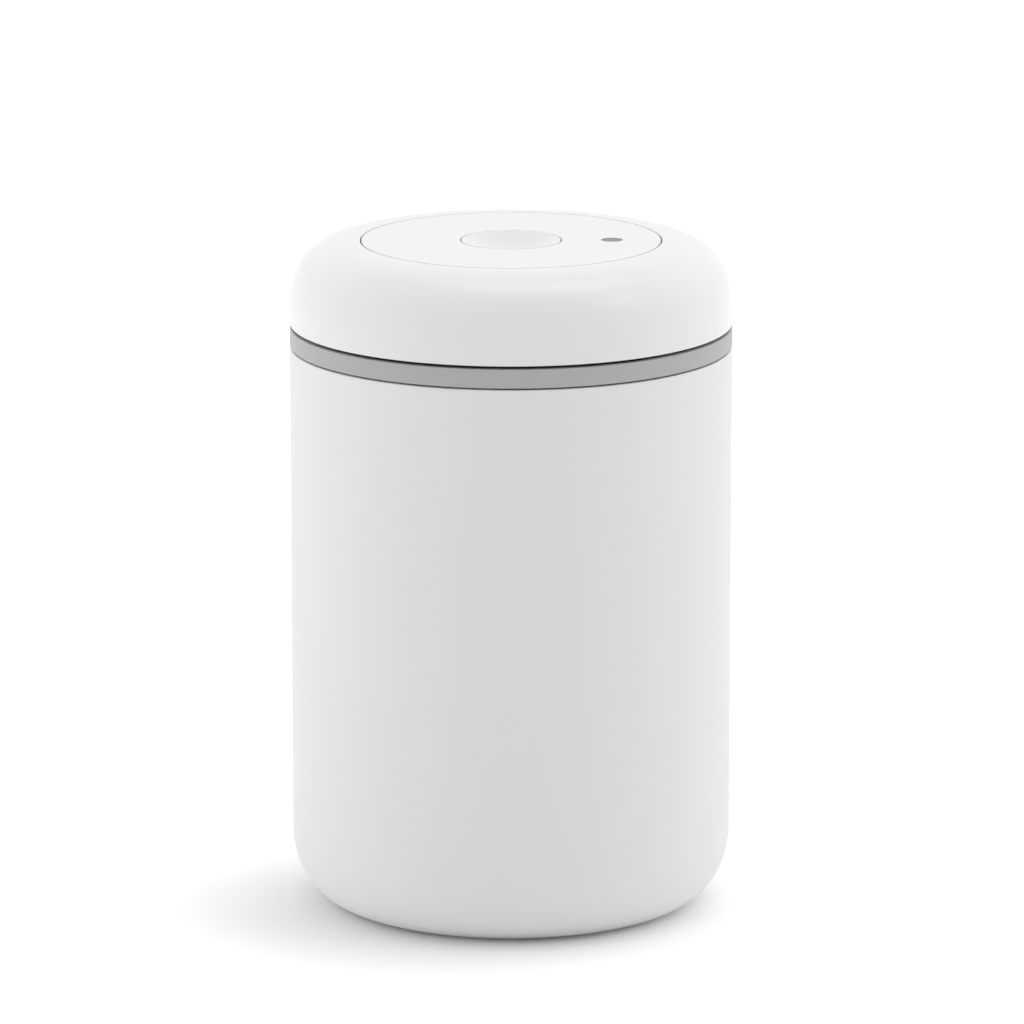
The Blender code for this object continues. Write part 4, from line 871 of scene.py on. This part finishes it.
def spring(name, coil_radius, wire, turns, low, high, middle=0.0):
    """Winds a round wire section up its axis with a screw modifier and closes its two ends."""
    bpy.ops.object.select_all(action="DESELECT")
    start = ((middle + coil_radius) * MM, 0, (low + wire / 2) * MM)
    bpy.ops.mesh.primitive_circle_add(
        vertices=WIRE_SIDES, radius=wire / 2 * MM, location=start, rotation=(TURN / 4, 0, 0)
    )
    bpy.ops.object.transform_apply(location=True, rotation=True, scale=True)
    coil = bpy.context.object
    coil.name = coil.data.name = name
    bpy.ops.object.empty_add(location=(middle * MM, 0, 0))
    axis = bpy.context.object
    change(
        coil, "SCREW", object=axis, screw_offset=(high - low - wire) / turns * MM, iterations=turns,
        steps=COIL_STEPS, render_steps=COIL_STEPS
    )
    bpy.data.objects.remove(axis)
    bpy.ops.object.mode_set(mode="EDIT")
    bpy.ops.mesh.select_all(action="DESELECT")
    bpy.ops.mesh.select_non_manifold()
    bpy.ops.mesh.fill_holes(sides=0)
    tidy_mesh()
    bpy.ops.object.mode_set(mode="OBJECT")
    return coil


def springs():
    """The button's and the indicator's return springs."""
    release = spring("button_spring", *RELEASE_SPRING)
    finished(release, bright_steel, "lid", "steel", "release_spring")
    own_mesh(release)
    small = spring("plunger_spring", *INDICATOR_SPRING, INDICATOR_X)
    finished(small, bright_steel, "lid", "steel", "indicator_spring")
    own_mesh(small)


def dress_cad_nodes():
    """Gives the CAD nodes that keep their shape the same materials."""
    finishes = {
        soft_silicone: [
            "intake_valve_1", "intake_valve_2", "exhaust_valve_1", "exhaust_valve_2", "tube_seal",
            "indicator_hose", "piston_outer_seal", "piston_inner_seal", "stem_seal", "indicator_seal"
        ],
        bright_steel: [
            "carrier_screw_1", "carrier_screw_2", "carrier_screw_3", "cam_screw_1", "cam_screw_2",
            "cam_screw_3", "follower_pin_1", "follower_pin_2", "follower_pin_3"
        ],
        slick_acetal: ["cam_ring", "pump_piston", "release_stem"],
        pale_abs: ["disc_carrier"],
        felt: ["dust_filter"],
    }
    for material, names in finishes.items():
        for name in names:
            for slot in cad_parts[name].material_slots:
                slot.material = material


# Studio
WHITE = (1.0, 1.0, 1.0, 1.0)

# The light of a white tent from each direction, where 1 is white. x, y and z are the direction, and h is
# the glow low down near the horizon. Each entry is a product of these and its share of the light.
TENT_EVEN = 0.634
TENT_SHARES = {
    "z": 0.294, "y": 0.935, "yz": -1.023, "yy": -0.796, "x": -0.076, "xz": 0.331, "xy": 0.7,
    "xx": 0.381, "h": 1.263, "hy": -1.544, "hx": -0.561, "hxy": -1.369, "hxx": 0.484
}
TENT_DARKEST = 0.02
HORIZON_POWER = 6.0

# What the camera, glosses and clear things see added to the floor's paper, so that it looks white away
# from the object. It grows outwards from under the object, so the shadow beside the object stays.
FLOOR_SIZE = 12
FLOOR_LIFT = 0.303
FLOOR_LIFT_CENTRE = (-9 * MM, -9 * MM, 0)
FLOOR_LIFT_STARTS = 29 * MM
FLOOR_LIFT_ENDS = 107 * MM

# The lamps: place and size in metres, and how bright their face is, where 1 is white
OVERHEAD_PLACE = (0.155, 0.13, 1.18)
OVERHEAD_SIZE = (0.81, 0.65)
OVERHEAD_LEVEL = 1.071
OVERHEAD_AIM = (*OVERHEAD_PLACE[:2], 0)
SIDE_PLACE = (0.9, -0.35, 0.95)
SIDE_SIZE = (0.4, 0.4)
SIDE_LEVEL = 1.378
SIDE_AIM = (0, 0, 0.05)


def seen_rays(tree):
    """1 for rays that see a surface as it is: from the camera, in a gloss or through something clear."""
    rays = node(tree, "LightPath").outputs
    seen = node(tree, "Math", {0: rays["Is Camera Ray"], 1: rays["Is Glossy Ray"]}, operation="MAXIMUM")
    return node(tree, "Math", {0: seen.outputs[0], 1: rays["Is Transmission Ray"]}, operation="MAXIMUM")


def studio_floor():
    """A white floor whose paper looks fully white away from the object and keeps the object's shadow."""
    bpy.ops.object.select_all(action="DESELECT")
    bpy.ops.mesh.primitive_plane_add(size=FLOOR_SIZE)
    floor = bpy.context.object
    floor.name = "studio_floor"
    material = bpy.data.materials.new("white_background_paper")
    material.use_nodes = True
    tree = material.node_tree
    tree.nodes.clear()
    place = node(tree, "TexCoord").outputs["Object"]
    away = node(tree, "VectorMath", {0: place, 1: FLOOR_LIFT_CENTRE}, operation="DISTANCE")
    rise = node(tree, "MapRange", {
        "Value": away.outputs["Value"], "From Min": FLOOR_LIFT_STARTS, "From Max": FLOOR_LIFT_ENDS,
        "To Max": FLOOR_LIFT
    }, interpolation_type="SMOOTHSTEP")
    lift = node(tree, "Math", {0: seen_rays(tree).outputs[0], 1: rise.outputs[0]}, operation="MULTIPLY")
    paper = node(tree, "BsdfDiffuse", {"Color": linear("#FCFCFC")})
    glow = node(tree, "Emission", {"Color": WHITE, "Strength": lift.outputs[0]})
    both = node(tree, "AddShader", {0: paper.outputs[0], 1: glow.outputs[0]})
    node(tree, "OutputMaterial", {"Surface": both.outputs[0]})
    floor.data.materials.append(material)


def studio_tent():
    """The white tent: dim behind the camera, bright at both sides, and plain white as a background."""
    world = bpy.data.worlds.new("white_tent")
    bpy.context.scene.world = world
    world.use_nodes = True
    world.cycles.sampling_method = "NONE"
    tree = world.node_tree
    tree.nodes.clear()
    parts = node(tree, "SeparateXYZ", {0: node(tree, "TexCoord").outputs["Generated"]}).outputs
    down = node(tree, "Math", {0: 1.0, 1: parts["Z"]}, operation="SUBTRACT")
    horizon = node(tree, "Math", {0: down.outputs[0], 1: HORIZON_POWER}, operation="POWER")
    parts = {"x": parts["X"], "y": parts["Y"], "z": parts["Z"], "h": horizon.outputs[0]}
    level = TENT_EVEN
    for letters, share in TENT_SHARES.items():
        product = parts[letters[0]]
        for letter in letters[1:]:
            product = node(tree, "Math", {0: product, 1: parts[letter]}, operation="MULTIPLY").outputs[0]
        level = node(tree, "Math", {0: product, 1: share, 2: level}, operation="MULTIPLY_ADD").outputs[0]
    level = node(tree, "Math", {0: level, 1: TENT_DARKEST}, operation="MAXIMUM").outputs[0]
    tent = node(tree, "Background", {"Color": WHITE, "Strength": level})
    plain = node(tree, "Background", {"Color": WHITE, "Strength": 1.0})
    mixed = node(tree, "MixShader", {0: seen_rays(tree).outputs[0], 1: tent.outputs[0], 2: plain.outputs[0]})
    node(tree, "OutputWorld", {"Surface": mixed.outputs[0]})


def soft_lamp(name, place, size, level, aim):
    """A rectangular lamp whose face is as bright as level, where 1 is white. The camera doesn't see it."""
    bpy.ops.object.light_add(type="AREA", location=place)
    lamp = bpy.context.object
    lamp.name = name
    lamp.rotation_euler = (Vector(aim) - Vector(place)).to_track_quat("-Z", "Y").to_euler()
    lamp.data.shape = "RECTANGLE"
    lamp.data.size, lamp.data.size_y = size
    lamp.data.energy = math.pi * size[0] * size[1] * level
    lamp.visible_camera = False


def photo_camera():
    """The camera at the photograph's place and angle."""
    bpy.ops.object.camera_add(location=CAMERA_PLACE, rotation=(TURN / 4 - CAMERA_PITCH, 0, 0))
    camera = bpy.context.object
    camera.name = "photo_camera"
    camera.data.lens = CAMERA_LENS
    camera.data.sensor_width = SENSOR_WIDTH
    bpy.context.scene.camera = camera
    bpy.context.scene.view_settings.view_transform = "Standard"


canister_jar()
band()
plug()
gasket()
grille()
glide()
disc()
indicator_collar()
cap()
button()
indicator()
springs()
dress_cad_nodes()
studio_floor()
studio_tent()
soft_lamp("overhead_softbox", OVERHEAD_PLACE, OVERHEAD_SIZE, OVERHEAD_LEVEL, OVERHEAD_AIM)
soft_lamp("right_softbox", SIDE_PLACE, SIDE_SIZE, SIDE_LEVEL, SIDE_AIM)
photo_camera()
